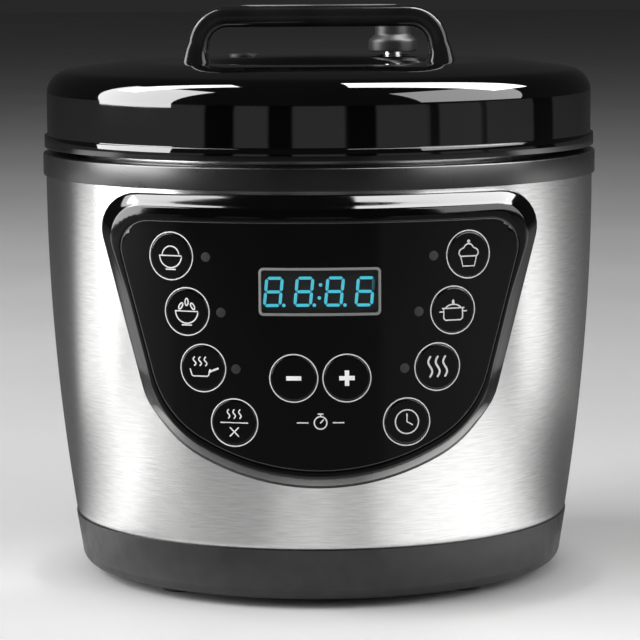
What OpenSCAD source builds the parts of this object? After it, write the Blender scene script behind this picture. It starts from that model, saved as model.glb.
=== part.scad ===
// Electric pressure cooker with a bayonet lid, a curved control panel and a lift-out pot.
// Origin: centre of the footprint on the table. +Z up, the control panel faces -Y.

/* [Body] */
// Radius of the steel body at its top edge
body_r = 140.5; // [139.5:0.5:141]
// Height of the body's visible top edge above the table
body_top = 205; // [204:0.5:206]
// Height of the body's bottom edge above the table
body_bottom = 30; // [28:1:32]
// How much narrower the body is at its bottom edge
body_taper = 13.5; // [11:0.5:14]
// Radius of the four feet
foot_r = 10; // [8:1:11]
// Distance of each foot from the middle
foot_pitch_r = 100; // [96:1:104]

/* [Collar and lid] */
// Radius of the collar band
collar_r = 142; // [142:0.5:143]
// Height of the collar band
collar_h = 11; // [10.5:0.5:11.5]
// Radius of the lid's skirt
skirt_r = 139.8; // [139:0.1:140]
// Radius of the rounded lip along the bottom of the skirt
lip_r = 141.2; // [140.5:0.1:141.5]
// Height of the rounded lip
lip_h = 5.5; // [5:0.5:6]
// Wall thickness of the lid cover
cover_wall = 2.8; // [2.4:0.2:3]
// Number of bayonet teeth
teeth = 6; // [6]
// Width of one bayonet tooth in degrees
tooth_deg = 26; // [22:1:27]

/* [Pot] */
// Outer radius of the pot's wall
pot_r = 111; // [109:0.5:111.5]
// Radius of the pot's rim
pot_rim_r = 118.5; // [117:0.5:119]
// Wall thickness of the pot
pot_wall = 1; // [0.8:0.1:1.2]

/* [Control panel] */
// Radius of the panel's curved face
panel_r = 170; // [165:1:175]
// How far the panel's face stands in front of the middle axis
panel_front = 149; // [148:0.5:150]
// Lean of the panel's two sides
side_lean = 14.9; // [14:0.1:16]
// Radius of the key caps
key_r = 10.7; // [10:0.1:10.8]
// How far a key moves when it is pressed
key_travel = 0.6; // [0.4:0.1:0.6]
// Height of one digit of the display
digit_h = 14.2; // [13:0.1:14.6]

/* [Hidden] */
$fn = 128;

// Small gap between pieces that move past each other
gap = 0.3;
// Overshoot that lets a cut run past a face
over = 1;
// Cuts through the front and back walls run between these distances from the middle
cut_in = 60;
cut_out = 160;
// Upright cuts through the lid start at this height and are this long
lid_cut_z = 200;
lid_cut_h = 100;

// Body: the side is one long shallow arc, vertical at the top
arc_span = body_top - body_bottom;
arc_r = (arc_span * arc_span + body_taper * body_taper) / (2 * body_taper);
arc_steps = 8;
shell_wall = 1;
shell_top = 213;
base_wall = 2.5;
base_floor_z = 4;
base_floor_t = 2.5;
function body_r_at(z) = body_r - arc_r + sqrt(arc_r * arc_r - pow(max(body_top - z, 0), 2));

// Upright positions inside the body
bracket_z = 36;
liner_floor_z = 46;
plate_z = 52;
plate_top = 62;
pot_floor_z = plate_top + gap;
flange_z = 204;
flange_t = 1.2;
pot_rim_z = flange_z + flange_t + gap;
ring_top = 213.5;
collar_top = body_top + collar_h;
liner_r = 115;
liner_wall = 1;
post_r = 96;
post_angles = [20, 160, 200, 340];
vent_rows = 9;
vent_pitch = 9;

// Bayonet: the lid's teeth pass down between the ring's teeth, then turn under them
tooth_pitch = 360 / teeth;
ring_wall_in = 127.2;
ring_wall_out = 128.8;
ring_tooth_r = 122.3;
lid_tooth_r = 126.2;
lid_tooth_z = 207.3;
lid_tooth_t = 2.5;
lid_wall_out = 121.7;
lid_wall_in = 120.5;
lid_plate_top = 224.4;
lid_plate_t = 1.4;

// Lid cover heights
skirt_z = 219.5;
shoulder_r = 12;
shoulder_z = 246;
dome_z = 262;
well_z = 254;
well_r = 47;
handle_top = 290;
handle_half = 70;
handle_foot = 13;
handle_w = 28;
insert_half = 40;
valve_x = 40;
valve_y = 66;
pipe_r = 5;
lid_screw_pitch_r = 90;
lid_screw_r = 2;
handle_screw_x = handle_half - handle_foot / 2;
handle_screw_r = 1.5;
rack_r = 107.6;
rack_z = 215;

// Panel: every outline is bounded by a low arc, a blend arc, a leaning line and a corner arc
panel_cy = panel_r - panel_front;
bezel_top = 203.4;
bezel_low = 61.2;
bezel_reach = 54.9;
corner_r = 18;
blend_r = 55;
low_r = 128;
fascia_r = panel_r - 2;
fascia_inset = 11.2;
fascia_low = bezel_low + fascia_inset;
board_inset = 4;
board_low = fascia_low + board_inset;
board_y = -118;
board_t = 1.6;
board_front = board_y - board_t;
shoulder_lip = 1;
switch_h = 5;
key_tip_y = board_front - switch_h - key_travel - 1;
stem_r = 1.6;
lamp_r = 2.3;
window_x = 28.9;
window_low = 146.8;
window_high = 169.6;
frame_w = 1.3;
module_y = -144.5;
digit_z = 150.8;
digit_w = 8.8;
digit_pitch = 14.45;
digit_slant = 0.1;
bar = 1.5;
// Panel screws, sideways place and height, and the back of the panel's solid
screw_x = 84;
screw_z = 171;
lug_w = 15;
panel_back = 84;

// Keys: name, sideways place and height
KEYS = [
    ["rice_key", -70.8, 174.2], ["brown_rice_key", -63.3, 147.9],
    ["saute_key", -55.8, 121.1], ["cancel_key", -41, 95.4],
    ["minus_key", -12.6, 117.1], ["plus_key", 12.6, 117.1],
    ["dessert_key", 70.8, 174.2], ["stew_key", 63.3, 147.9],
    ["steam_key", 55.8, 121.1], ["delay_key", 41, 95.4]
];
LAMPS = [[54, 174.2], [46.9, 147.9], [40, 121.1]];
function key_row(name) = [for (k = KEYS) if (k[0] == name) k][0];
function panel_angle(x) = asin(x / panel_r);

// Back of the body: condensation cup and mains inlet
cup_low = 150;
cup_high = 196;
cup_half = 31;
cup_back = 152;
inlet_low = 34;
inlet_high = 60;
inlet_half = 19;

pin_back = 115.4;
pin_front = 130;

// Mains leads and ribbon, each a run of points
WIRES = [
    [[-7, pin_back, 44], [-7, 114, 44], [-7, 112.5, 44], [-8, 109, 42.6], [-20, 92, 30], [-30, 86, 18.7]],
    [[7, pin_back, 44], [7, 114, 44], [7, 112.5, 44], [8, 109, 42.6], [20, 92, 30], [30, 86, 18.7]],
    [[-50, 40, 18.8], [-64, 30, 26], [-67, 6, 29], [-67, 2, 32.9]],
    [[50, 40, 18.8], [72, 26, 24], [76, -6, 28], [67, -4, 32.9]]
];
RIBBON = [
    [0, 22, 19.6], [0, 6, 22], [0, -60, 22], [0, -104, 26], [0, -119, 44], [0, -119, 60],
    [0, -118.8, board_low - 0.05]
];

// ---------- Helpers ----------

// Points along an arc about c, from angle a0 to a1
function arc(c, r, a0, a1, n = 8) =
    [for (i = [0 : n]) let (a = a0 + (a1 - a0) * i / n) [c[0] + r * cos(a), c[1] + r * sin(a)]];

// Right half of a panel outline, from the low middle to the top corner.
// reach is the distance from the origin to the leaning side line.
function half_outline(top, low, reach, corner, blend, big) =
    let (
        n = [cos(side_lean), -sin(side_lean)],
        t = [sin(side_lean), cos(side_lean)],
        c_low = [0, low + big],
        q = n * (reach - blend) - c_low,
        s = -(t * q) - sqrt(pow(t * q, 2) - q * q + pow(big - blend, 2)),
        c_blend = n * (reach - blend) + t * s,
        c_top = [(reach - corner + (top - corner) * sin(side_lean)) / cos(side_lean), top - corner],
        meet = atan2(c_blend[1] - c_low[1], c_blend[0] - c_low[0])
    )
    concat(arc(c_low, big, -90, meet, 6), arc(c_blend, blend, meet, -side_lean, 8),
           arc(c_top, corner, -side_lean, 90, 8));

function mirrored(points) =
    concat(points, [for (i = [len(points) - 1 : -1 : 1]) [-points[i][0], points[i][1]]]);

// Outlines of the bezel and of the fascia
function bezel_outline() =
    mirrored(half_outline(bezel_top, bezel_low, bezel_reach, corner_r, blend_r, low_r));
function fascia_outline(inset = 0) =
    mirrored(half_outline(191 - inset, fascia_low + inset, 47.4 - inset, 14 - inset, 48 - inset,
                          low_r - fascia_inset - inset));

// A panel outline as a block between two distances in front of the middle axis
module panel_block(points, back, front) {
    translate([0, -back, 0])
        rotate([90, 0, 0])
            linear_extrude(front - back)
                polygon(points);
}

// Everything inside radius r about the panel's own upright axis, taller by extra at both ends
module panel_round(r, extra = 0) {
    translate([0, panel_cy, 50 - extra])
        cylinder(r = r, h = 160 + 2 * extra, $fn = 720);
}

// Places its children on the panel's face, with local +Z pointing straight out of it
module at_panel(x, z) {
    translate([0, panel_cy, z])
        rotate([0, 0, panel_angle(x)])
            rotate([90, 0, 0])
                children();
}

module ring(r_in, r_out, h) {
    difference() {
        cylinder(r = r_out, h = h);
        translate([0, 0, -over])
            cylinder(r = r_in, h = h + 2 * over);
    }
}

// A part of a ring between two radii, tooth_deg wide and centred on angle a
module ring_tooth(r_in, r_out, h, a) {
    half = tooth_deg / 2;
    reach = r_out + 10;
    intersection() {
        ring(r_in, r_out, h);
        rotate([0, 0, a])
            translate([0, 0, -over])
                linear_extrude(h + 2 * over)
                    polygon([[0, 0], [reach * cos(half), -reach * sin(half)],
                             [reach * 1.1, 0], [reach * cos(half), reach * sin(half)]]);
    }
}

module tube(r_in, r_out, low, high) {
    translate([0, 0, low])
        ring(r_in, r_out, high - low);
}

// A point on the smooth curve that runs through four guide points, t from 0 to 1
function curve_point(a, b, c, d, t) =
    0.5 * (2 * b + (c - a) * t + (2 * a - 5 * b + 4 * c - d) * t * t
           + (3 * b - a - 3 * c + d) * t * t * t);

// The route's own points with four steps of smooth curve between neighbours
function smooth(route) =
    let (last = len(route) - 1, steps = 4)
    concat([for (i = [0 : last - 1], k = [0 : steps - 1])
                curve_point(route[max(i - 1, 0)], route[i], route[i + 1],
                            route[min(i + 2, last)], k / steps)],
           [route[last]]);

// A lead of radius r, one closed tube along the smooth curve through the route
module lead(route, r) {
    sides = 8;
    p = smooth(route);
    last = len(p) - 1;
    rings = [for (i = [0 : last], j = [0 : sides - 1])
        let (
            v = p[min(i + 1, last)] - p[max(i - 1, 0)],
            side = cross(v, [0.9, 0.1, 0.4]),
            u = side / norm(side),
            w = cross(v, u) / norm(v)
        )
        p[i] + r * (cos(j * 360 / sides) * u + sin(j * 360 / sides) * w)];
    walls = [for (i = [0 : last - 1], j = [0 : sides - 1])
        let (k = (j + 1) % sides)
        [i * sides + j, (i + 1) * sides + j, (i + 1) * sides + k, i * sides + k]];
    ends = [[for (j = [0 : sides - 1]) j], [for (j = [sides - 1 : -1 : 0]) last * sides + j]];
    polyhedron(rings, concat(walls, ends));
}

// Outside of the body as one solid, grown by extra
module body_solid(extra = 0, top = shell_top) {
    steps = [for (i = [0 : arc_steps]) body_bottom + arc_span * i / arc_steps];
    rotate_extrude()
        polygon(concat([[0, body_bottom]], [for (z = steps) [body_r_at(z) + extra, z]],
                       [[body_r + extra, top], [0, top]]));
}

// ---------- Housing ----------

module outer_shell() {
    steps = [for (i = [0 : arc_steps]) body_bottom + arc_span * i / arc_steps];
    outside = [for (z = steps) [body_r_at(z), z]];
    inside = [for (i = [arc_steps : -1 : 0]) [body_r_at(steps[i]) - shell_wall, steps[i]]];
    color("silver")
        difference() {
            rotate_extrude()
                polygon(concat(outside, [[body_r, shell_top], [body_r - shell_wall, shell_top]], inside));
            panel_block(fascia_outline(3), cut_in, cut_out);
            translate([-cup_half, cut_in, cup_low])
                cube([2 * cup_half, cut_out - cut_in, cup_high - cup_low]);
            translate([-inlet_half, cut_in, inlet_low])
                cube([2 * inlet_half, cut_out - cut_in, inlet_high - inlet_low]);
        }
}

module collar() {
    color("#1c1c1e")
        difference() {
            rotate_extrude()
                polygon([
                    [collar_r, body_top], [collar_r, collar_top - 1], [collar_r - 1, collar_top],
                    [129.2, collar_top], [129.2, flange_z + flange_t + 0.1],
                    [131, flange_z + flange_t + 0.1], [131, shell_top], [body_r + 0.1, shell_top],
                    [body_r + 0.1, body_top]
                ]);
            translate([0, 134, collar_top - 4])
                cylinder(r = 2, h = 6);
        }
}

module base_cover() {
    lip_in = body_r_at(body_bottom) - shell_wall - 2.2;
    edge = body_r_at(body_bottom) + 0.6;
    color("#1b1b1d") {
        difference() {
            rotate_extrude()
                polygon(concat(
                    [[0, base_floor_z], [edge - 10, base_floor_z]],
                    arc([edge - 10, base_floor_z + 7], 7, -60, 0, 5),
                    [
                        [edge, body_bottom - 0.1], [lip_in + 2, body_bottom - 0.1],
                        [lip_in + 2, body_bottom + 3.8], [lip_in, body_bottom + 3.8],
                        [lip_in, body_bottom - 6], [edge - 3 - base_wall, base_floor_z + 7],
                        [edge - 13, base_floor_z + base_floor_t], [0, base_floor_z + base_floor_t]
                    ]));
            for (a = [45 : 90 : 315])
                rotate([0, 0, a])
                    translate([foot_pitch_r, 0, 0])
                        cylinder(r = 5, h = 20);
            for (a = post_angles)
                rotate([0, 0, a])
                    translate([post_r, 0, 0])
                        cylinder(r = 4.5, h = 20);
            for (i = [0 : vent_rows - 1], side = [-1, 1])
                translate([side * 34 - 22, -76 + i * vent_pitch, 0])
                    cube([44, 3, 20]);
        }
        for (a = post_angles)
            rotate([0, 0, a])
                translate([post_r, 0, 0]) {
                    tube(4, 6, base_floor_z + 1, base_floor_z + 5);
                    tube(2, 6, base_floor_z + 4, liner_floor_z);
                }
        for (x = [-52, 52], y = [26, 88])
            translate([x, y, base_floor_z + base_floor_t])
                cylinder(r = 3.5, h = 16 - base_floor_z - base_floor_t);
    }
}

module rubber_feet() {
    color("#2a2a2a")
        for (a = [45 : 90 : 315])
            rotate([0, 0, a])
                translate([foot_pitch_r, 0, 0]) {
                    translate([0, 0, 1])
                        cylinder(r = foot_r, h = base_floor_z - 1);
                    cylinder(r = foot_r - 1, h = 1);
                    cylinder(r = 5, h = base_floor_z + base_floor_t + 1);
                    translate([0, 0, base_floor_z + base_floor_t])
                        cylinder(r = 6, h = 1.5);
                }
}

module base_screws() {
    color("#b8b8b8")
        for (a = post_angles)
            rotate([0, 0, a])
                translate([post_r, 0, 0]) {
                    difference() {
                        translate([0, 0, base_floor_z + 1.5])
                            cylinder(r = 3.8, h = 2.5);
                        for (t = [0, 90])
                            rotate([0, 0, t])
                                translate([-2.2, -0.4, base_floor_z])
                                    cube([4.4, 0.8, 2.7]);
                    }
                    translate([0, 0, base_floor_z + 3])
                        cylinder(r = 2, h = 26);
                }
}

module locking_ring() {
    color("#c9c9cc") {
        tube(ring_wall_in, ring_wall_out, flange_z + flange_t, ring_top);
        for (i = [0 : teeth - 1])
            translate([0, 0, ring_top - lid_tooth_t])
                ring_tooth(ring_tooth_r, ring_wall_in + 0.5, lid_tooth_t, (i + 0.5) * tooth_pitch);
    }
}

module inner_housing() {
    in_r = liner_r - liner_wall;
    color("#b9babc")
        difference() {
            rotate_extrude()
                polygon([
                    [22, liner_floor_z], [liner_r, liner_floor_z], [liner_r, flange_z],
                    [131, flange_z], [131, flange_z + flange_t], [in_r, flange_z + flange_t],
                    [in_r, liner_floor_z + liner_wall], [22, liner_floor_z + liner_wall]
                ]);
            for (x = [-67, 67])
                translate([x, 0, liner_floor_z - over])
                    cylinder(r = 8, h = 4);
            translate([38, 0, liner_floor_z - over])
                cylinder(r = 5, h = 4);
        }
}

module heating_plate() {
    feet_z = liner_floor_z + liner_wall;
    color("#a8a9ab")
        difference() {
            union() {
                translate([0, 0, plate_z])
                    cylinder(r = 96, h = plate_top - plate_z - 1);
                translate([0, 0, plate_top - 1])
                    cylinder(r = 95, h = 1);
                for (a = [90 : 120 : 330])
                    rotate([0, 0, a])
                        translate([85, 0, feet_z])
                            cylinder(r = 5, h = plate_z - feet_z + 1);
            }
            translate([0, 0, plate_z - over])
                cylinder(r = 14.4, h = 20);
            rotate_extrude()
                translate([67, plate_z])
                    circle(r = 4.1, $fn = 48);
        }
}

module heating_element() {
    color("#7d7f83") {
        rotate_extrude()
            translate([67, plate_z])
                circle(r = 4, $fn = 48);
        for (x = [-67, 67])
            translate([x, 0, 34])
                cylinder(r = 3, h = plate_z - 34);
    }
}

module support_bracket() {
    color("#b4b5b8")
        difference() {
            union() {
                translate([-60, -14, bracket_z])
                    cube([120, 28, 1.5]);
                for (x = [-60, 58.5])
                    translate([x, -14, bracket_z])
                        cube([1.5, 28, liner_floor_z - bracket_z]);
            }
            translate([38, 0, bracket_z - over])
                cylinder(r = 3.4, h = 4);
        }
}

module pressure_switch() {
    color("#8c6a3c") {
        translate([26, -8, 24])
            cube([24, 16, bracket_z - 24]);
        translate([38, 0, bracket_z - over])
            cylinder(r = 3, h = plate_z - bracket_z + over);
    }
}

module thermal_fuse() {
    color("#e8e4d8")
        translate([-9, -48, plate_z - 2.2])
            rotate([0, 90, 0])
                cylinder(r = 2, h = 18);
}

module power_board() {
    color("#2c6b3a")
        translate([-60, 20, 16])
            cube([120, 75, board_t]);
}

module power_components() {
    top = 16 + board_t;
    color("#30343a") {
        translate([-48, 28, top])
            cube([24, 20, 16]);
        translate([-8, 40, top])
            cube([20, 16, 14]);
        translate([28, 50, top])
            cube([14, 12, 11]);
        for (x = [-14, 4])
            translate([x, 76, top])
                cylinder(r = 6, h = 16);
        translate([-52, 62, top])
            cube([18, 3, 17]);
    }
}

module wiring_harness() {
    color("#c23b2e") {
        for (w = WIRES)
            lead(w, 1.4);
        lead(RIBBON, 2);
    }
}

module power_inlet() {
    mid = (inlet_low + inlet_high) / 2;
    color("#141416")
        difference() {
            translate([-inlet_half, 116, inlet_low])
                cube([2 * inlet_half, 20, inlet_high - inlet_low]);
            translate([0, 137, mid])
                rotate([90, 0, 0])
                    linear_extrude(18)
                        polygon([[-12, -8], [12, -8], [12, 3], [7, 8], [-7, 8], [-12, 3]]);
            for (x = [-7, 0, 7])
                inlet_pin(x, 115, 121);
        }
}

// The blade of a pin at sideways place x; the middle one stands higher
module inlet_pin(x, back, front) {
    mid = (inlet_low + inlet_high) / 2;
    translate([x - 1, back, mid + (x == 0 ? 0.5 : -4)])
        cube([2, front - back, 4]);
}

module inlet_pins() {
    color("#d9c27a")
        for (x = [-7, 0, 7])
            inlet_pin(x, pin_back, pin_front);
}

module cup_bracket() {
    color("#1a1a1c")
        difference() {
            translate([-cup_half, 126, cup_low])
                cube([2 * cup_half, 20, cup_high - cup_low]);
            translate([3 - cup_half, 129, cup_low + 3])
                cube([2 * cup_half - 6, 30, cup_high - cup_low - 6]);
            translate([0, 134, cup_high - 5])
                cylinder(r = 2, h = 10);
        }
}

// ---------- Control panel ----------

// Everything behind the chin: a wide drum whose front edge is bevelled
module chin_drum() {
    chin_back = 131.6;
    bevel = 7.8;
    translate([0, 0, bezel_low + low_r])
        rotate([90, 0, 0])
            rotate_extrude($fn = 360)
                polygon([[0, 80], [low_r + 0.05, 80], [low_r + 0.05, chin_back],
                         [low_r - bevel, panel_front], [0, panel_front + over]]);
}

module control_bezel() {
    color("#101012") {
        difference() {
            intersection() {
                panel_block(bezel_outline(), panel_back, panel_front + over);
                panel_round(panel_r);
                chin_drum();
            }
            body_solid(0.05);
            panel_block(fascia_outline(3), cut_in, cut_out);
            difference() {
                panel_block(fascia_outline(), panel_back, cut_out);
                panel_round(fascia_r);
            }
            for (k = KEYS)
                at_panel(k[1], k[2])
                    translate([0, 0, fascia_r - 20])
                        cylinder(r = key_r + shoulder_lip + gap, h = 20);
        }
        for (side = [-1, 1])
            difference() {
                translate([side * (screw_x + lug_w / 2 - 4) - lug_w / 2, board_y, screw_z - 11])
                    cube([lug_w, 6, 22]);
                panel_screw_hole(side);
            }
    }
}

module panel_screw_hole(side) {
    translate([side * screw_x, board_y - 5, screw_z])
        rotate([-90, 0, 0])
            cylinder(r = 1.5, h = 12);
}

module key_hole(x, z, r) {
    at_panel(x, z)
        translate([0, 0, panel_r - 12])
            cylinder(r = r, h = 20);
}

module control_fascia() {
    color("#0c0c0e")
        difference() {
            intersection() {
                panel_block(fascia_outline(), panel_back, cut_out);
                difference() {
                    panel_round(panel_r);
                    panel_round(fascia_r, over);
                }
            }
            for (k = KEYS)
                key_hole(k[1], k[2], key_r + gap);
            for (l = LAMPS, side = [-1, 1])
                key_hole(side * l[0], l[1], lamp_r);
            translate([-window_x, -cut_out, window_low])
                cube([2 * window_x, 40, window_high - window_low]);
        }
}

// A curved sheet of the panel between two radii, cut to the window's size less inset
module window_sheet(r_in, r_out, inset) {
    intersection() {
        difference() {
            panel_round(r_out);
            panel_round(r_in, over);
        }
        translate([inset - window_x, -cut_out, window_low + inset])
            cube([2 * (window_x - inset), 40, window_high - window_low - 2 * inset]);
    }
}

module display_frame() {
    color("#b9b9bb")
        difference() {
            window_sheet(fascia_r, panel_r + 0.1, 0);
            window_sheet(fascia_r - 1, panel_r + 1, frame_w);
        }
}

module display_window() {
    color([0.25, 0.27, 0.3, 0.4])
        window_sheet(fascia_r + 0.8, panel_r - 0.2, frame_w);
}

module display_module() {
    color("#2b2c2f")
        translate([-27.4, module_y, window_low + 1.4])
            cube([54.8, 8, window_high - window_low - 2.8]);
}

module display_holder() {
    depth = board_front - module_y - 8;
    height = window_high - window_low - 2.8;
    color("#d8d8d4")
        difference() {
            translate([-27.4, module_y + 8, window_low + 1.4])
                cube([54.8, depth, height]);
            translate([-25.4, module_y + 7, window_low + 3.4])
                cube([50.8, depth + 2, height - 4]);
        }
}

// One bar of a digit between two points, with pointed ends
module digit_bar(a, b) {
    v = b - a;
    len = norm(v);
    h = bar / 2;
    translate(a)
        rotate([0, 0, atan2(v[1], v[0])])
            polygon([[0.3, 0], [0.3 + h, h], [len - 0.3 - h, h], [len - 0.3, 0],
                     [len - 0.3 - h, -h], [0.3 + h, -h]]);
}

function slanted(x, z) = [x + z * digit_slant, z];

module digit() {
    mid = digit_h / 2;
    ends = [bar / 2, mid, digit_h - bar / 2];
    left = bar / 2;
    right = digit_w - bar / 2;
    for (z = ends)
        digit_bar(slanted(left, z), slanted(right, z));
    for (x = [left, right], i = [0, 1])
        digit_bar(slanted(x, ends[i]), slanted(x, ends[i + 1]));
}

module display_segments() {
    first = -27.1;
    color("#4fe0f0")
        translate([0, module_y, 0])
            rotate([90, 0, 0])
                linear_extrude(0.3)
                    translate([0, digit_z]) {
                        for (i = [0 : 3])
                            translate([first + i * digit_pitch, 0])
                                digit();
                        for (i = [0 : 2])
                            translate([first + i * digit_pitch + digit_w + 1.6, bar / 2])
                                circle(r = 0.9, $fn = 24);
                        for (z = [4.6, 9.6])
                            translate([first + 2 * digit_pitch - 2.5 + z * digit_slant, z])
                                circle(r = 0.9, $fn = 24);
                    }
}

module indicator_lamps() {
    color("#55565a")
        for (l = LAMPS, side = [-1, 1]) {
            tip = (panel_cy - board_front + 3) / cos(panel_angle(l[0]));
            at_panel(side * l[0], l[1])
                translate([0, 0, tip])
                    cylinder(r = lamp_r, h = panel_r - tip, $fn = 48);
        }
}

module control_board() {
    color("#2c6b3a")
        difference() {
            panel_block(fascia_outline(board_inset), -board_y, -board_front);
            for (side = [-1, 1])
                panel_screw_hole(side);
        }
}

module tact_switches() {
    color("#3a3b3e")
        for (k = KEYS) {
            x = (panel_cy - key_tip_y) * tan(panel_angle(k[1]));
            translate([x, board_front, k[2]])
                rotate([90, 0, 0]) {
                    translate([-3, -3, 0])
                        cube([6, 6, 3.5]);
                    cylinder(r = 1.7, h = switch_h, $fn = 48);
                }
        }
}

module panel_screws() {
    color("#b8b8b8")
        for (side = [-1, 1])
            translate([side * screw_x, board_front, screw_z])
                rotate([-90, 0, 0]) {
                    translate([0, 0, -2])
                        cylinder(r = 3, h = 2);
                    cylinder(r = 1.4, h = 7);
                }
}

// One key: curved cap, a shoulder behind the fascia and a stem to its switch
module key(name) {
    k = key_row(name);
    tip = (panel_cy - key_tip_y) / cos(panel_angle(k[1]));
    shoulder = fascia_r - gap - 1.5;
    color("#0d0d0f") {
        intersection() {
            at_panel(k[1], k[2])
                translate([0, 0, shoulder])
                    cylinder(r = key_r, h = 12);
            panel_round(panel_r + 0.25);
        }
        intersection() {
            at_panel(k[1], k[2])
                translate([0, 0, shoulder])
                    cylinder(r = key_r + shoulder_lip, h = 12);
            panel_round(fascia_r - gap);
        }
        at_panel(k[1], k[2])
            translate([0, 0, tip])
                cylinder(r = stem_r, h = shoulder + 0.5 - tip, $fn = 48);
    }
}

// ---------- Pot and lid ----------

module inner_pot() {
    in_r = pot_r - pot_wall;
    floor_t = 1.6;
    bend = 9;
    color("#9b9b9d")
        rotate_extrude()
            polygon(concat(
                [[0, pot_floor_z]],
                arc([pot_r - bend, pot_floor_z + bend], bend, -90, 0),
                [
                    [pot_r, pot_rim_z - 2], [pot_r + 2, pot_rim_z], [pot_rim_r, pot_rim_z],
                    [pot_rim_r, pot_rim_z + 1.2], [in_r, pot_rim_z + 1.2]
                ],
                arc([in_r - bend + 1, pot_floor_z + floor_t + bend - 1], bend - 1, 0, -90),
                [[0, pot_floor_z + floor_t]]));
}

module sealing_ring() {
    low = pot_rim_z + 1.2 + gap;
    high = lid_plate_top - lid_plate_t - gap;
    color("#d8d8d2")
        rotate_extrude()
            polygon([
                [109.5, low], [lid_wall_in - gap, low], [lid_wall_in - gap, high], [109.5, high],
                [109.5, high - 3], [116, high - 4.5], [116, low + 4.5], [109.5, low + 3]
            ]);
}

module lid_plate() {
    color("#c4c5c8")
        difference() {
            union() {
                rotate_extrude()
                    polygon([
                        [0, lid_plate_top], [lid_wall_out, lid_plate_top], [lid_wall_out, lid_tooth_z],
                        [lid_wall_in, lid_tooth_z], [lid_wall_in, lid_plate_top - lid_plate_t],
                        [0, lid_plate_top - lid_plate_t]
                    ]);
                for (i = [0 : teeth - 1])
                    translate([0, 0, lid_tooth_z])
                        ring_tooth(lid_wall_out - 0.5, lid_tooth_r, lid_tooth_t, i * tooth_pitch);
            }
            translate([valve_x, valve_y, lid_cut_z])
                cylinder(r = 4, h = lid_cut_h);
            translate([-valve_x, valve_y, lid_cut_z])
                cylinder(r = 3, h = lid_cut_h);
            for (a = [45 : 90 : 315])
                rotate([0, 0, a])
                    translate([lid_screw_pitch_r, 0, lid_cut_z])
                        cylinder(r = lid_screw_r, h = lid_cut_h);
            translate([0, 0, lid_cut_z])
                cylinder(r = 3, h = lid_cut_h);
        }
}

module gasket_rack() {
    color("#b7b8bb") {
        rotate_extrude()
            translate([rack_r, rack_z])
                circle(r = 1.2, $fn = 32);
        for (a = [15 : 60 : 315])
            rotate([0, 0, a])
                translate([rack_r, 0, rack_z])
                    cylinder(r = 1, h = lid_plate_top - lid_plate_t - rack_z, $fn = 32);
    }
}

// Outer profile of the lid cover from the skirt's foot to the middle, pulled in by inset
function cover_profile(inset) =
    let (r = skirt_r - inset)
    concat(
        arc([r - shoulder_r + inset, shoulder_z], shoulder_r - inset, 0, 80, 8),
        [
            [100, dome_z - inset], [well_r + 10, dome_z - inset],
            [well_r + inset, well_z + 2 - inset], [well_r - 4, well_z - inset], [0, well_z - inset]
        ]);

module lid_cover() {
    lip_out = [
        [skirt_r - cover_wall, skirt_z], [lip_r - 0.8, skirt_z], [lip_r, skirt_z + 1],
        [lip_r, skirt_z + lip_h - 1], [lip_r - 0.8, skirt_z + lip_h], [skirt_r, skirt_z + lip_h]
    ];
    inner = cover_profile(cover_wall);
    color("#0f0f11") {
        difference() {
            rotate_extrude()
                polygon(concat(lip_out, cover_profile(0),
                               [for (i = [len(inner) - 1 : -1 : 0]) inner[i]]));
            translate([valve_x, valve_y, lid_cut_z])
                cylinder(r = 9, h = lid_cut_h);
            translate([-valve_x, valve_y, lid_cut_z])
                cylinder(r = 6, h = lid_cut_h);
            for (x = [-handle_screw_x, handle_screw_x])
                translate([x, 0, lid_cut_z])
                    cylinder(r = handle_screw_r, h = lid_cut_h);
        }
        for (a = [45 : 90 : 315])
            rotate([0, 0, a])
                translate([lid_screw_pitch_r, 0, lid_plate_top])
                    ring(lid_screw_r, 5, dome_z - 2 - lid_plate_top);
        tube(3, 7, lid_plate_top, well_z - 2);
    }
}

module lid_handle() {
    foot = handle_half - handle_foot;
    mid = foot - 10;
    color("#111113")
        difference() {
            translate([0, handle_w / 2, 0])
                rotate([90, 0, 0])
                    linear_extrude(handle_w)
                        polygon(concat(
                            [[-foot, dome_z], [-foot, dome_z + 6]],
                            [[-mid, handle_top - 11], [mid, handle_top - 11]],
                            [[foot, dome_z + 6], [foot, dome_z], [handle_half, dome_z]],
                            arc([handle_half - 16, handle_top - 16], 16, 0, 90, 6),
                            arc([16 - handle_half, handle_top - 16], 16, 90, 180, 6),
                            [[-handle_half, dome_z]]));
            translate([-insert_half, -7, handle_top - 1.5])
                cube([2 * insert_half, 14, 4]);
            for (x = [-handle_screw_x, handle_screw_x])
                translate([x, 0, dome_z - over])
                    cylinder(r = handle_screw_r, h = 12);
        }
}

module handle_insert() {
    color("#cfd0d2")
        translate([-insert_half, -7, handle_top - 1.5])
            cube([2 * insert_half, 14, 1.5]);
}

module lid_nut() {
    color("#c2c3c6")
        difference() {
            union() {
                translate([0, 0, lid_plate_top - lid_plate_t - 5])
                    cylinder(r = 8, h = 5, $fn = 6);
                translate([0, 0, lid_plate_top - lid_plate_t - 1])
                    cylinder(r = 3, h = 20);
            }
            translate([-6, -0.6, lid_plate_top - lid_plate_t - 6])
                cube([12, 1.2, 2.2]);
        }
}

module lid_screws() {
    head_z = lid_plate_top - lid_plate_t - 2;
    color("#b8b8b8") {
        for (a = [45 : 90 : 315])
            rotate([0, 0, a])
                translate([lid_screw_pitch_r, 0, head_z]) {
                    cylinder(r = 3.6, h = 2);
                    cylinder(r = lid_screw_r, h = 18);
                }
        for (x = [-handle_screw_x, handle_screw_x])
            translate([x, 0, dome_z - cover_wall - 2]) {
                cylinder(r = 3, h = 2);
                cylinder(r = handle_screw_r, h = 12);
            }
    }
}

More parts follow.
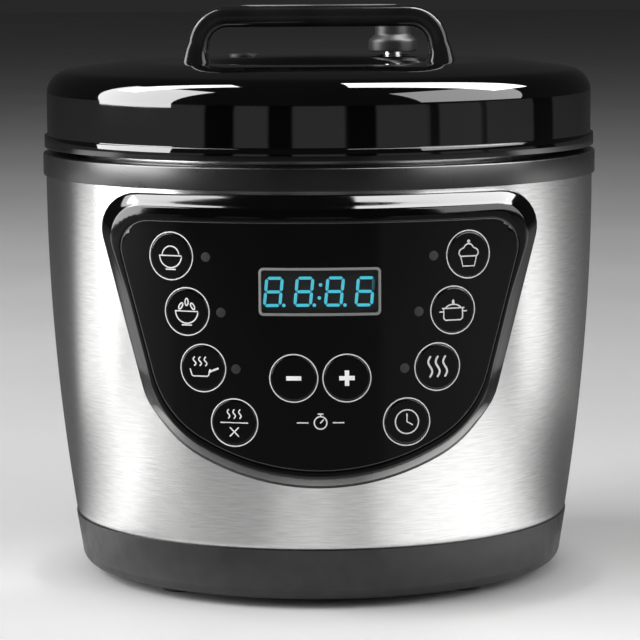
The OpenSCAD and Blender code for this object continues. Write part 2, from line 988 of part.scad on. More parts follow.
module valve_pipe() {
    color("#c6c7ca")
        translate([valve_x, valve_y, 0])
            difference() {
                union() {
                    translate([0, 0, 218])
                        cylinder(r = 4, h = 8);
                    translate([0, 0, 216])
                        cylinder(r = 6, h = lid_plate_top - lid_plate_t - 216);
                    translate([0, 0, lid_plate_top])
                        cylinder(r = pipe_r, h = 272 - lid_plate_top);
                }
                translate([0, 0, lid_cut_z])
                    cylinder(r = 1.6, h = lid_cut_h);
            }
}

module steam_shield() {
    color("#bfc0c3")
        translate([valve_x, valve_y, 0])
            difference() {
                translate([0, 0, 209])
                    cylinder(r = 10, h = 11);
                translate([0, 0, 210.5])
                    cylinder(r = 8.8, h = 12);
                for (a = [0 : 30 : 330])
                    rotate([0, 0, a])
                        translate([6, -1, 212])
                            cube([6, 2, 5]);
            }
    color("#bfc0c3")
        translate([valve_x, valve_y, 0])
            tube(6, 9.4, 219, 220);
}

module float_seat() {
    color("#26262a")
        translate([-valve_x, valve_y, 0]) {
            tube(3.9, 5.7, lid_plate_top, dome_z + 0.5);
            tube(3.9, 8, dome_z, dome_z + 1);
        }
}

module release_valve() {
    color("#161618")
        translate([valve_x, valve_y, 0])
            difference() {
                union() {
                    translate([0, 0, 264])
                        cylinder(r = 13, h = 9);
                    translate([0, 0, 273])
                        cylinder(r = 10, h = 7);
                    translate([-4.5, 0, 270])
                        cube([9, 27, 8]);
                }
                translate([0, 0, 263])
                    cylinder(r = pipe_r + 0.08, h = 11);
                for (a = [0 : 60 : 300])
                    rotate([0, 0, a + 30])
                        translate([9, -1, 263])
                            cube([6, 2, 4]);
            }
}

module float_valve() {
    color("#c9382e")
        translate([-valve_x, valve_y, 0]) {
            translate([0, 0, 250])
                cylinder(r = 3.5, h = 11);
            translate([0, 0, 212.5])
                cylinder(r = 1.6, h = 38);
            translate([0, 0, 212])
                cylinder(r = 3, h = 1);
        }
}

module float_seal() {
    color("#d8d8d2")
        translate([-valve_x, valve_y, 0])
            tube(1.6, 5, 213, 216.5);
}

// ---------- Cup and sensor ----------

module condensation_cup() {
    half = cup_half - 3 - gap;
    low = cup_low + 3 + gap;
    high = cup_high - 3 - gap;
    wall = 1.6;
    color([0.85, 0.88, 0.9, 0.5])
        difference() {
            translate([-half, 129 + gap, low])
                cube([2 * half, cup_back - 129 - gap, high - low]);
            translate([wall - half, 129 + gap + wall, low + wall])
                cube([2 * (half - wall), cup_back - 129 - gap - 2 * wall, high - low]);
        }
}

module sensor_probe() {
    color("#c5c6c9") {
        translate([0, 0, plate_z - 2])
            cylinder(r = 14, h = plate_top - plate_z + 1.4);
        translate([0, 0, plate_top - 0.6])
            cylinder(r = 13.4, h = 0.6);
        translate([0, 0, plate_z - 4])
            cylinder(r = 17, h = 2);
    }
}

// Coil: wire of radius wire_r swept along a helix with flat-cut ends
module sensor_spring() {
    turns = 4;
    per_turn = 16;
    sides = 8;
    coil_r = 9;
    wire_r = 0.7;
    low = bracket_z + 1.5 + wire_r;
    rise = plate_z - 4 - low - wire_r;
    steps = turns * per_turn;
    points = [for (i = [0 : steps], j = [0 : sides - 1])
        let (a = i * 360 / per_turn, b = j * 360 / sides, r = coil_r + wire_r * cos(b))
        [r * cos(a), r * sin(a), low + rise * i / steps + wire_r * sin(b)]];
    walls = [for (i = [0 : steps - 1], j = [0 : sides - 1])
        let (k = (j + 1) % sides)
        [i * sides + j, i * sides + k, (i + 1) * sides + k, (i + 1) * sides + j]];
    ends = [[for (j = [sides - 1 : -1 : 0]) j], [for (j = [0 : sides - 1]) steps * sides + j]];
    color("#c8c8ca")
        polyhedron(points, concat(walls, ends));
}

// ---------- Output ----------

outer_shell();
collar();
base_cover();
rubber_feet();
base_screws();
locking_ring();
inner_housing();
heating_plate();
heating_element();
support_bracket();
pressure_switch();
thermal_fuse();
power_board();
power_components();
wiring_harness();
power_inlet();
inlet_pins();
cup_bracket();
control_bezel();
control_fascia();
display_frame();
display_window();
display_module();
display_holder();
display_segments();
indicator_lamps();
control_board();
tact_switches();
panel_screws();
key("rice_key");  // rice_key
key("brown_rice_key");  // brown_rice_key
key("saute_key");  // saute_key
key("cancel_key");  // cancel_key
key("minus_key");  // minus_key
key("plus_key");  // plus_key
key("dessert_key");  // dessert_key
key("stew_key");  // stew_key
key("steam_key");  // steam_key
key("delay_key");  // delay_key
inner_pot();
sealing_ring();
lid_cover();
lid_plate();
gasket_rack();
lid_handle();
handle_insert();
lid_nut();
lid_screws();
valve_pipe();
steam_shield();
float_seat();
release_valve();
float_valve();
float_seal();
condensation_cup();
sensor_probe();
sensor_spring();
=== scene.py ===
import bmesh
import bpy
import math
from mathutils import Matrix, Vector


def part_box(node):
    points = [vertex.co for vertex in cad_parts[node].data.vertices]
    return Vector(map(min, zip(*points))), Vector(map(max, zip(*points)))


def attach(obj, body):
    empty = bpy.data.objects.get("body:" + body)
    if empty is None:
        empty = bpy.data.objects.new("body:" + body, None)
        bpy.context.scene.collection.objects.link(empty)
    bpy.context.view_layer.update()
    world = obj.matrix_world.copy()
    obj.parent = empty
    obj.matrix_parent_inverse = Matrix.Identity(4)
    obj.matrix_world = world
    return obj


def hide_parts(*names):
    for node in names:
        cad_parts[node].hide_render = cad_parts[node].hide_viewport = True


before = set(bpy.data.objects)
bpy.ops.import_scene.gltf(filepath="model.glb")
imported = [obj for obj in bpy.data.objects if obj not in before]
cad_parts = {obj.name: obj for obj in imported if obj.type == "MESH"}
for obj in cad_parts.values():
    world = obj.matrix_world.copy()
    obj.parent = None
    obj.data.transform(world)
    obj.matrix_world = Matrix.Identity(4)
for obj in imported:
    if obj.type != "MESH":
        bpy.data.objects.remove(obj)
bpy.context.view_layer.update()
MM = 0.001


# ---------- Sizes, in metres, from the frame ----------

def low(node):
    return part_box(node)[0]


def high(node):
    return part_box(node)[1]


SHELL_R = high("outer_shell").x
SHELL_LOW = low("outer_shell").z
SHELL_HIGH = high("outer_shell").z
BAND_LOW = low("collar").z
BAND_HIGH = high("collar").z
BAND_R = high("collar").x
LIP_R = high("lid_cover").x

# The lid's lip is drawn this much lower than in the CAD
LIP_DROP = 0.7 * MM
LID_LOW = low("lid_cover").z - LIP_DROP
DOME_Z = high("lid_cover").z
HANDLE_LOW = low("lid_handle")
HANDLE_HIGH = high("lid_handle")

# The side of the body is one shallow arc, vertical at the top
BODY_TAPER = 13.5 * MM
ARC_SPAN = BAND_LOW - SHELL_LOW
ARC_R = (ARC_SPAN ** 2 + BODY_TAPER ** 2) / (2 * BODY_TAPER)

# The panel's face is part of an upright cylinder of radius FACE_R about (0, FACE_Y)
FACE_R = 170 * MM
FACE_FRONT = -149 * MM
FACE_Y = FACE_FRONT + FACE_R
SIDE_LEAN = math.radians(14.9)
KEY_R = 10.7 * MM
GAP = 0.3 * MM
RING_IN = 11.1 * MM
RING_OUT = 11.66 * MM
LAMP_R = 2.3 * MM
DOME_TOP = 0.2 * MM
DOME_FALL = 0.08 * MM
FRAME_CORNER = 2.2 * MM

# Keys: sideways place and height of each, in millimetres
KEYS = {
    "rice_key": (-70.8, 174.2), "brown_rice_key": (-63.3, 147.9),
    "saute_key": (-55.8, 121.1), "cancel_key": (-41.0, 95.4),
    "minus_key": (-12.6, 117.1), "plus_key": (12.6, 117.1),
    "dessert_key": (70.8, 174.2), "stew_key": (63.3, 147.9),
    "steam_key": (55.8, 121.1), "delay_key": (41.0, 95.4),
}
LAMPS = [(side * x, z) for x, z in ((54.0, 174.2), (46.9, 147.9), (40.0, 121.1)) for side in (-1, 1)]
TIMER_Z = 96.3


# ---------- Shapes ----------

def arc(cx, cy, r, a0, a1, n):
    """n + 1 points along an arc, angles in degrees."""
    angles = [math.radians(a0 + (a1 - a0) * i / n) for i in range(n + 1)]
    return [(cx + r * math.cos(a), cy + r * math.sin(a)) for a in angles]


def circle(n):
    """The cosine and sine of n even steps round a circle."""
    return [(math.cos(2 * math.pi * i / n), math.sin(2 * math.pi * i / n)) for i in range(n)]


def fillet(corners, n=5):
    """A closed outline from (x, y, radius) corners, each rounded by its own radius."""
    points = []
    for i, (x, y, r) in enumerate(corners):
        here = Vector((x, y))
        if r <= 0:
            points.append((x, y))
            continue
        before = (Vector(corners[i - 1][:2]) - here).normalized()
        after = (Vector(corners[(i + 1) % len(corners)][:2]) - here).normalized()
        half = before.angle(after) / 2
        reach = r / math.tan(half)
        centre = here + (before + after).normalized() * (r / math.sin(half))
        start = here + before * reach - centre
        end = here + after * reach - centre
        turn = start.angle_signed(end)
        for k in range(n + 1):
            p = centre + Matrix.Rotation(-turn * k / n, 2) @ start
            points.append((p.x, p.y))
    return points


def lathe(outline, steps=192):
    """A closed outline of (radius, height) turned about the upright axis."""
    n = len(outline)
    verts, faces = [], []
    for i, (c, s) in enumerate(circle(steps)):
        verts += [(r * c, r * s, z) for r, z in outline]
        j = (i + 1) % steps
        faces += [(i * n + k, j * n + k, j * n + (k + 1) % n, i * n + (k + 1) % n) for k in range(n)]
    return verts, faces


def prism(outline, at):
    """A closed outline as a solid. at(x, y, side) gives the point for side 0 and for side 1."""
    n = len(outline)
    verts = [at(x, y, side) for side in (0, 1) for x, y in outline]
    faces = [tuple(range(n)), tuple(reversed(range(n, 2 * n)))]
    faces += [(i, (i + 1) % n, n + (i + 1) % n, n + i) for i in range(n)]
    return verts, faces


def bands(loops, closed=True, capped=False):
    """Skins a list of loops that have the same number of points."""
    n = len(loops[0])
    verts = [p for loop in loops for p in loop]
    faces = []
    last = len(loops) if closed else len(loops) - 1
    for i in range(last):
        j = (i + 1) % len(loops)
        faces += [(i * n + k, i * n + (k + 1) % n, j * n + (k + 1) % n, j * n + k) for k in range(n)]
    if capped:
        top = (len(loops) - 1) * n
        faces += [tuple(reversed(range(n))), tuple(range(top, top + n))]
    return verts, faces


def joined(*parts):
    """Several (verts, faces) pairs as one."""
    verts, faces = [], []
    for v, f in parts:
        base = len(verts)
        verts += list(v)
        faces += [tuple(base + i for i in face) for face in f]
    return verts, faces


def add(name, data):
    """A new object in the scene."""
    obj = bpy.data.objects.new(name, data)
    bpy.context.scene.collection.objects.link(obj)
    return obj


def ease(t):
    """Runs from 0 to 1 with a level start and end."""
    return t * t * (3 - 2 * t)


def square_off(value, power):
    """Pushes a sine or cosine outwards, so that a round section becomes a squarer one."""
    return math.copysign(abs(value) ** power, value)


def box_solid(lo, hi):
    outline = [(lo[0], lo[1]), (hi[0], lo[1]), (hi[0], hi[1]), (lo[0], hi[1])]
    return prism(outline, lambda x, y, side: (x, y, (lo[2], hi[2])[side]))


def make_mesh(name, shape):
    """A clean closed mesh from verts and faces, with its normals outwards."""
    mesh = bpy.data.meshes.new(name)
    mesh.from_pydata([tuple(v) for v in shape[0]], [], shape[1])
    bm = bmesh.new()
    bm.from_mesh(mesh)
    bmesh.ops.remove_doubles(bm, verts=bm.verts, dist=2e-6)
    bmesh.ops.dissolve_degenerate(bm, dist=1e-6, edges=bm.edges)
    bmesh.ops.recalc_face_normals(bm, faces=bm.faces)
    bm.to_mesh(mesh)
    bm.free()
    return mesh


def shade(mesh, degrees=32):
    mesh.shade_smooth()
    mesh.set_sharp_from_angle(angle=math.radians(degrees))


def piece(name, shape, body, material, replaces=(), degrees=32):
    """One finished piece of the object, riding on a body."""
    mesh = shape if isinstance(shape, bpy.types.Mesh) else make_mesh(name, shape)
    shade(mesh, degrees)
    mesh.materials.append(material)
    obj = add(name, mesh)
    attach(obj, body)
    if replaces:
        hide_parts(*replaces)
    return obj


def cut(shape, *cutters):
    """The shape with the cutters' volumes taken away, as a mesh."""
    made = [add("cutting", make_mesh("cutting", s)) for s in (shape, *cutters)]
    for tool in made[1:]:
        m = made[0].modifiers.new("cut", "BOOLEAN")
        m.operation = "DIFFERENCE"
        m.solver = "EXACT"
        m.object = tool
    bpy.context.view_layer.update()
    mesh = bpy.data.meshes.new_from_object(made[0].evaluated_get(bpy.context.evaluated_depsgraph_get()))
    for o in made:
        bpy.data.objects.remove(o)
    return mesh


# ---------- Panel geometry ----------

def body_r_at(z):
    drop = max(BAND_LOW - z, 0)
    return SHELL_R - ARC_R + math.sqrt(ARC_R ** 2 - drop ** 2)


def face_y(x, depth=0.0):
    """How far forward the panel's face is at sideways place x, depth behind its surface."""
    return FACE_Y - math.sqrt((FACE_R - depth) ** 2 - x ** 2)


def half_outline(top, bottom, reach, corner, blend, big, n):
    """Right half of a panel outline: low arc, blend arc, leaning side and corner arc. In millimetres."""
    normal = Vector((math.cos(SIDE_LEAN), -math.sin(SIDE_LEAN)))
    along = Vector((math.sin(SIDE_LEAN), math.cos(SIDE_LEAN)))
    c_low = Vector((0, bottom + big))
    q = normal * (reach - blend) - c_low
    s = -along.dot(q) - math.sqrt(along.dot(q) ** 2 - q.dot(q) + (big - blend) ** 2)
    c_blend = normal * (reach - blend) + along * s
    c_top = ((reach - corner + (top - corner) * math.sin(SIDE_LEAN)) / math.cos(SIDE_LEAN), top - corner)
    meet = math.degrees(math.atan2(c_blend.y - c_low.y, c_blend.x - c_low.x))
    lean = math.degrees(SIDE_LEAN)
    low_arc = arc(0, bottom + big, big, -90, meet, n)
    blend_arc = arc(c_blend.x, c_blend.y, blend, meet, -lean, n)
    corner_arc = arc(c_top[0], c_top[1], corner, -lean, 90, n)
    side = straight(blend_arc[-1], corner_arc[0], n)
    edge = straight(corner_arc[-1], (0, top), n)
    return low_arc[:-1] + blend_arc[:-1] + side[:-1] + corner_arc[:-1] + edge


def corners_of(lo, hi):
    """The four corners of a box as seen from the front, as (x, z)."""
    return [(lo.x, lo.z), (hi.x, lo.z), (hi.x, hi.z), (lo.x, hi.z)]


def straight(a, b, n):
    return [(a[0] + (b[0] - a[0]) * i / n, a[1] + (b[1] - a[1]) * i / n) for i in range(n + 1)]


def whole_outline(n=10, **sizes):
    right = half_outline(n=n, **sizes)
    left = [(-x, z) for x, z in reversed(right[1:-1])]
    return [(x * MM, z * MM) for x, z in right + left]


def bezel_outline():
    return whole_outline(top=203.4, bottom=61.2, reach=54.9, corner=18, blend=55, big=128)


def fascia_outline(inset=0.0):
    return whole_outline(top=191 - inset, bottom=72.4 + inset, reach=47.4 - inset, corner=14 - inset,
                         blend=48 - inset, big=116.8 - inset)


def key_frame(x_mm, z_mm):
    """Centre on the face, sideways direction and outward direction at a place on the panel."""
    x, z = x_mm * MM, z_mm * MM
    a = math.asin(x / FACE_R)
    return (Vector((x, face_y(x), z)), Vector((math.cos(a), math.sin(a), 0)),
            Vector((math.sin(a), -math.cos(a), 0)))


def placed(shape, x_mm, z_mm, surface=lambda u, v: 0.0):
    """Moves a shape from flat (u, v, h) to a place on the panel, h standing out of surface(u, v)."""
    centre, side, out = key_frame(x_mm, z_mm)
    up = Vector((0, 0, 1))
    return [centre + side * u + up * v + out * (h + surface(u, v)) for u, v, h in shape[0]], shape[1]


def on_face(u, v):
    """The face falls away from its tangent plane sideways."""
    return -u * u / (2 * FACE_R)


def on_key(u, v):
    return DOME_TOP - DOME_FALL * (u * u + v * v) / KEY_R ** 2


# ---------- Printed marks ----------

def stroke(path, width=0.65, height=0.07, closed=False):
    """A raised line with round ends through (u, v) points in millimetres."""
    pts = [Vector(p) for p in path]
    sides = 8
    loops = []
    n = len(pts)
    for i, p in enumerate(pts):
        if closed:
            t = pts[(i + 1) % n] - pts[i - 1]
        else:
            t = pts[min(i + 1, n - 1)] - pts[max(i - 1, 0)]
        t.normalize()
        across = Vector((-t.y, t.x))
        ends = []
        if not closed and i == 0:
            ends = [(-math.sin(math.radians(b)), math.cos(math.radians(b))) for b in (84, 60, 30)]
        if not closed and i == n - 1:
            ends = [(math.sin(math.radians(b)), math.cos(math.radians(b))) for b in (30, 60, 84)]
        steps = ends + [(0, 1)] if i == 0 else [(0, 1)] + ends
        for shift, scale in steps:
            centre = p + t * shift * width / 2
            loop = []
            for c, s in circle(sides):
                side = across * (width / 2 * scale * c)
                loop.append(((centre.x + side.x) * MM, (centre.y + side.y) * MM, height * s * MM))
            loops.append(loop)
    return bands(loops, closed=closed, capped=not closed)


def wave(x, low_v, high_v, swing=0.8, n=14):
    """One full turn of a wave, from low_v up to high_v."""
    rise = high_v - low_v
    return [(x + swing * math.sin(2 * math.pi * i / n), low_v + rise * i / n) for i in range(n + 1)]


def oval(cx, cy, a, b, turn=0.0, n=20):
    c, s = math.cos(math.radians(turn)), math.sin(math.radians(turn))
    points = []
    for across, up in circle(n):
        p = (a * across, b * up)
        points.append((cx + p[0] * c - p[1] * s, cy + p[0] * s + p[1] * c))
    return points


def bowl():
    return [stroke(arc(0, 0.2, 5.8, 180, 360, 22) + [(-5.8, 0.2)]), stroke([(-2.4, -6.4), (2.4, -6.4)])]


def mark_rice():
    return bowl() + [stroke(arc(0, 0.2, 4.5, 12, 168, 16))]


def mark_brown_rice():
    grains = ((-3.1, 2.6, 60), (0, 4.6, 90), (3.1, 2.6, 120))
    return bowl() + [stroke(oval(x, v, 1.7, 0.8, t, 14), 0.7, closed=True) for x, v, t in grains]


def mark_saute():
    pan = [(-6.4, -0.6), (-5.6, -3.4), (-4.9, -3.9), (2.2, -3.9), (2.9, -3.4), (3.6, -0.6)]
    return [stroke(pan), stroke([(3.3, -1.7), (7.6, 0.0)], 1.0)] + [
        stroke(wave(x, 1.2, 5.2, 0.7)) for x in (-4.2, -1.4, 1.4)]


def mark_cancel():
    cross = [[(-2, -2.4), (2, -6.4)], [(-2, -6.4), (2, -2.4)]]
    return [stroke([(-6.6, 0), (6.6, 0)], 0.6)] + [stroke(p) for p in cross] + [
        stroke(wave(x, 2.2, 6.2, 0.6)) for x in (-2.8, 0, 2.8)]


def mark_dessert():
    cup = [(-4.2, -0.9), (-3.1, -5.6), (3.1, -5.6), (4.2, -0.9)]
    rim = [(-4.2, -0.9), (4.2, -0.9)]
    top = rim[:1] + arc(-3.2, 0.8, 1.9, 230, 120, 8) + arc(0, 2.4, 2.6, 160, 20, 12)
    top += arc(3.2, 0.8, 1.9, 60, -50, 8) + rim[1:]
    cherry = oval(0, 6.2, 0.5, 0.5)
    return [stroke(cup), stroke(top), stroke(rim), stroke(cherry, closed=True)]


def mark_stew():
    pot = [(-4.9, 0.9)] + arc(-3.4, -3.3, 1.5, 180, 270, 6) + arc(3.4, -3.3, 1.5, 270, 360, 6) + [(4.9, 0.9)]
    rim = [(-5.6, 0.9), (5.6, 0.9)]
    cover = arc(0, -3.4, 6.1, 52, 128, 12)
    knob = [(0, 3.3), (0, 4.4)]
    grips = [[(-7.0, -0.7), (-5.2, -0.7)], [(5.2, -0.7), (7.0, -0.7)]]
    return [stroke(pot), stroke(rim), stroke(cover), stroke(knob, 1.3)] + [stroke(p) for p in grips]


def mark_steam():
    return [stroke(wave(x, -4.6, 4.8, 1.0, 18), 1.0) for x in (-3.8, 0, 3.8)]


def mark_delay():
    return [stroke(oval(0, 0, 5.7, 5.7, n=40), closed=True), stroke([(0, 3.7), (0, 0), (2.7, -1.5)])]


def inlay(outline, height=0.07, edge=0.1):
    """A flat raised mark with square corners and a small chamfer."""
    def level(inset, h):
        return [((u - math.copysign(inset, u)) * MM, (v - math.copysign(inset, v)) * MM, h * MM)
                for u, v in outline]

    return bands([level(0, -0.1), level(0, height * 0.5), level(edge, height)], closed=False, capped=True)


def mark_minus():
    return [inlay([(-3.6, -1.05), (3.6, -1.05), (3.6, 1.05), (-3.6, 1.05)])]


def mark_plus():
    a, b = 1.05, 3.7
    return [inlay([(-b, -a), (-a, -a), (-a, -b), (a, -b), (a, -a), (b, -a), (b, a), (a, a), (a, b), (-a, b),
                   (-a, a), (-b, a)])]


def mark_timer():
    return [stroke(oval(0, -0.5, 3.0, 3.0, n=30), closed=True), stroke([(0, 2.8), (0, 3.5)]),
            stroke([(-1.1, 3.7), (1.1, 3.7)]), stroke([(0, -0.5), (1.3, 0.9)]),
            stroke([(-11, -0.5), (-6, -0.5)]), stroke([(6, -0.5), (11, -0.5)])]


MARKS = {
    "rice_key": mark_rice, "brown_rice_key": mark_brown_rice, "saute_key": mark_saute,
    "cancel_key": mark_cancel, "minus_key": mark_minus, "plus_key": mark_plus,
    "dessert_key": mark_dessert, "stew_key": mark_stew, "steam_key": mark_steam,
    "delay_key": mark_delay,
}


# ---------- Materials ----------

class Finish:
    """A node-based material: a Principled shader with texture chains in object space."""

    def __init__(self, name, **sockets):
        self.material = bpy.data.materials.new(name)
        self.material.use_nodes = True
        self.tree = self.material.node_tree
        self.shader = next(n for n in self.tree.nodes if n.type == "BSDF_PRINCIPLED")
        for key, value in sockets.items():
            self.shader.inputs[key.replace("_", " ")].default_value = value
        self.coords = self.tree.nodes.new("ShaderNodeTexCoord")

    def node(self, kind, **settings):
        n = self.tree.nodes.new(kind)
        for key, value in settings.items():
            setattr(n, key, value)
        return n

    def link(self, a, b):
        self.tree.links.new(a, b)

    def noise(self, scale, stretch=(1, 1, 1), detail=4.0, roughness=0.55, source=None):
        place = self.node("ShaderNodeMapping")
        place.inputs["Scale"].default_value = [scale * s for s in stretch]
        self.link(source or self.coords.outputs["Object"], place.inputs["Vector"])
        texture = self.node("ShaderNodeTexNoise")
        texture.inputs["Scale"].default_value = 1
        texture.inputs["Detail"].default_value = detail
        texture.inputs["Roughness"].default_value = roughness
        self.link(place.outputs["Vector"], texture.inputs["Vector"])
        return texture.outputs["Fac"]

    def azimuth(self):
        """The separated object coordinates, and the angle round the upright axis: 0 towards the camera."""
        split = self.node("ShaderNodeSeparateXYZ")
        self.link(self.coords.outputs["Object"], split.inputs["Vector"])
        back = self.node("ShaderNodeMath", operation="MULTIPLY")
        back.inputs[1].default_value = -1.0
        self.link(split.outputs["Y"], back.inputs[0])
        angle = self.node("ShaderNodeMath", operation="ARCTAN2")
        self.link(split.outputs["X"], angle.inputs[0])
        self.link(back.outputs["Value"], angle.inputs[1])
        return split, angle

    def ramp(self, source, stops):
        r = self.node("ShaderNodeValToRGB")
        elements = r.color_ramp.elements
        elements[0].position = stops[0][0]
        elements[-1].position = stops[-1][0]
        for position, _ in stops[1:-1]:
            elements.new(position)
        for e, (_, value) in zip(elements, stops):
            e.color = (*value, 1) if isinstance(value, tuple) else (value, value, value, 1)
        self.link(source, r.inputs["Fac"])
        return r.outputs["Color"]

    def colour(self, source, dark, light, a=0.35, b=0.65):
        self.link(self.ramp(source, [(a, dark), (b, light)]), self.shader.inputs["Base Color"])

    def rough(self, source, smooth, coarse, a=0.3, b=0.7):
        m = self.node("ShaderNodeMapRange")
        m.inputs["From Min"].default_value = a
        m.inputs["From Max"].default_value = b
        m.inputs["To Min"].default_value = smooth
        m.inputs["To Max"].default_value = coarse
        self.link(source, m.inputs["Value"])
        self.link(m.outputs["Result"], self.shader.inputs["Roughness"])

    def bump(self, source, strength, distance=0.0001):
        b = self.node("ShaderNodeBump")
        b.inputs["Strength"].default_value = strength
        b.inputs["Distance"].default_value = distance
        self.link(source, b.inputs["Height"])
        self.link(b.outputs["Normal"], self.shader.inputs["Normal"])


def gloss_plastic(name, dark, light, smooth=0.05, coarse=0.13, peel=0.03, ior=1.5):
    f = Finish(name, IOR=ior)
    f.colour(f.noise(60), dark, light)
    f.rough(f.noise(45, detail=6), smooth, coarse)
    f.bump(f.noise(700, detail=2), peel)
    return f.material


def moulded_plastic(name, dark, light, smooth=0.38, coarse=0.5, grain=0.25, size=2600, ior=1.5):
    f = Finish(name, IOR=ior)
    f.colour(f.noise(90), dark, light)
    f.rough(f.noise(120), smooth, coarse)
    f.bump(f.noise(size, detail=3), grain)
    return f.material


def turned_steel(name, dark, light):
    """Steel brushed round the upright axis: short fine streaks along angle, close together in height."""
    f = Finish(name, Metallic=1.0, Anisotropic=0.8, Anisotropic_Rotation=0.25)
    split, angle = f.azimuth()
    joined_up = f.node("ShaderNodeCombineXYZ")
    f.link(angle.outputs["Value"], joined_up.inputs["X"])
    f.link(split.outputs["Z"], joined_up.inputs["Z"])
    streaks = f.noise(1, (11, 1, 1100), roughness=0.65, source=joined_up.outputs["Vector"])
    f.colour(streaks, dark, light, 0.3, 0.7)
    f.rough(f.noise(9, detail=2), 0.22, 0.26, 0.1, 0.9)
    f.bump(streaks, 0.1)
    tangent = f.node("ShaderNodeTangent", direction_type="RADIAL", axis="Z")
    f.link(tangent.outputs["Tangent"], f.shader.inputs["Tangent"])
    return f.material


def brushed_steel(name, dark, light, stretch, smooth=0.25, coarse=0.38, grain=0.12, turned=True):
    f = Finish(name, Metallic=1.0, Anisotropic=0.65)
    fine = f.noise(1, stretch, detail=5, roughness=0.7)
    broad = f.noise(14, detail=3)
    f.colour(fine, dark, light)
    f.rough(broad, smooth, coarse)
    f.bump(fine, grain)
    if turned:
        tangent = f.node("ShaderNodeTangent", direction_type="RADIAL", axis="Z")
        f.link(tangent.outputs["Tangent"], f.shader.inputs["Tangent"])
    return f.material


def drawn_metal(name, dark, light, smooth=0.22, coarse=0.4, size=300):
    f = Finish(name, Metallic=1.0)
    f.colour(f.noise(80, detail=5), dark, light)
    f.rough(f.noise(160, detail=6), smooth, coarse)
    f.bump(f.noise(size, detail=4), 0.06)
    return f.material


def printed(name, value):
    f = Finish(name, Roughness=0.45)
    f.colour(f.noise(900), value * 0.93, value)
    f.bump(f.noise(3000), 0.1, 0.00005)
    return f.material


def lit(name, colour, strength):
    f = Finish(name, Roughness=0.3, Emission_Strength=strength, Emission_Color=(*colour, 1))
    f.colour(f.noise(400), tuple(c * 0.45 for c in colour), tuple(c * 0.5 for c in colour))
    return f.material


def clear_plastic(name, tint, alpha, roughness=0.06):
    f = Finish(name, Alpha=alpha, IOR=1.49)
    f.colour(f.noise(50), tuple(c * 0.92 for c in tint), tint)
    f.rough(f.noise(90, detail=5), roughness, roughness * 2.2)
    return f.material


def grey(value):
    return (value, value, value)


DEEP_BLACK = (grey(0.0006), grey(0.001))
STEEL = turned_steel("brushed_steel", (0.6, 0.6, 0.595), (0.74, 0.74, 0.735))
PRESSED = brushed_steel("pressed_steel", grey(0.62), grey(0.76), (60, 60, 1500), 0.16, 0.26, 0.05)
LINER = drawn_metal("liner_steel", (0.5, 0.5, 0.51), (0.62, 0.62, 0.63), 0.3, 0.45)
ALUMINIUM = drawn_metal("cast_aluminium", (0.52, 0.52, 0.53), (0.66, 0.66, 0.67), 0.3, 0.46, 900)
ZINC = drawn_metal("zinc", (0.6, 0.6, 0.58), (0.75, 0.75, 0.76), 0.22, 0.34)
SATIN = moulded_plastic("satin_black", *DEEP_BLACK, 0.27, 0.3, 0.0, ior=1.9)
BASE = moulded_plastic("base_black", (0.012, 0.012, 0.013), (0.02, 0.02, 0.021))
RUBBER = moulded_plastic("foot_rubber", grey(0.02), grey(0.04), 0.7, 0.85, 0.4, 1500)
BEZEL = gloss_plastic("bezel_gloss", *DEEP_BLACK)
FASCIA = gloss_plastic("fascia_gloss", *DEEP_BLACK, 0.03, 0.08, 0.01)
KEY = gloss_plastic("key_gloss", *DEEP_BLACK, 0.05, 0.1, 0.02)
LID = gloss_plastic("lid_gloss", *DEEP_BLACK, 0.02, 0.05, 0.01, ior=1.8)
HANDLE = gloss_plastic("handle_black", grey(0.006), grey(0.01), 0.12, 0.22, 0.05)
VALVE = moulded_plastic("valve_black", (0.012, 0.012, 0.013), (0.022, 0.022, 0.023), 0.34, 0.44, 0.15)
PRINT = printed("print_grey", 0.68)
PRINT_WHITE = printed("print_white", 0.95)
FRAME_GREY = printed("frame_grey", 0.22)
# A grey that is a painted highlight: the bead round the fascia's edge stands in for light caught on that
# edge.
PAINTED_EDGE_HIGHLIGHT = printed("painted_edge_highlight", 0.03)
MODULE = moulded_plastic("module_dark", (0.016, 0.016, 0.017), (0.022, 0.022, 0.023), 0.4, 0.5, 0.05)
CYAN = lit("digit_cyan", (0.07, 0.55, 0.7), 0.95)
CYAN_DIM = lit("digit_cyan_dim", (0.02, 0.12, 0.18), 0.5)
LAMP = moulded_plastic("lamp_grey", grey(0.013), grey(0.018), 0.5, 0.6, 0.02)
LENS = clear_plastic("display_lens", (0.02, 0.02, 0.022), 0.12, 0.03)
CUP = clear_plastic("cup_clear", (0.78, 0.82, 0.85), 0.3)
SILICONE = moulded_plastic("silicone", (0.55, 0.55, 0.52), (0.66, 0.66, 0.63), 0.4, 0.55, 0.08, 800)
POT = moulded_plastic("pot_coating", (0.04, 0.04, 0.042), (0.065, 0.065, 0.068), 0.3, 0.42, 0.15, 1800)
RED = moulded_plastic("float_red", (0.38, 0.02, 0.015), (0.5, 0.035, 0.025), 0.25, 0.35, 0.05)
BOARD = moulded_plastic("board_green", (0.01, 0.09, 0.03), (0.02, 0.15, 0.05), 0.25, 0.4, 0.05)
COMPONENT = moulded_plastic("component_dark", (0.015, 0.015, 0.018), (0.04, 0.04, 0.045), 0.4, 0.55, 0.2)
PHENOLIC = moulded_plastic("switch_brown", (0.14, 0.06, 0.02), (0.22, 0.1, 0.04), 0.35, 0.5, 0.1)
CERAMIC = moulded_plastic("fuse_white", (0.6, 0.58, 0.52), (0.75, 0.73, 0.68), 0.35, 0.5, 0.1)
LEADS = moulded_plastic("lead_red", (0.3, 0.02, 0.015), (0.45, 0.035, 0.025), 0.3, 0.45, 0.1)
WHITE = moulded_plastic("holder_white", (0.6, 0.6, 0.57), (0.72, 0.72, 0.69), 0.35, 0.5, 0.1)
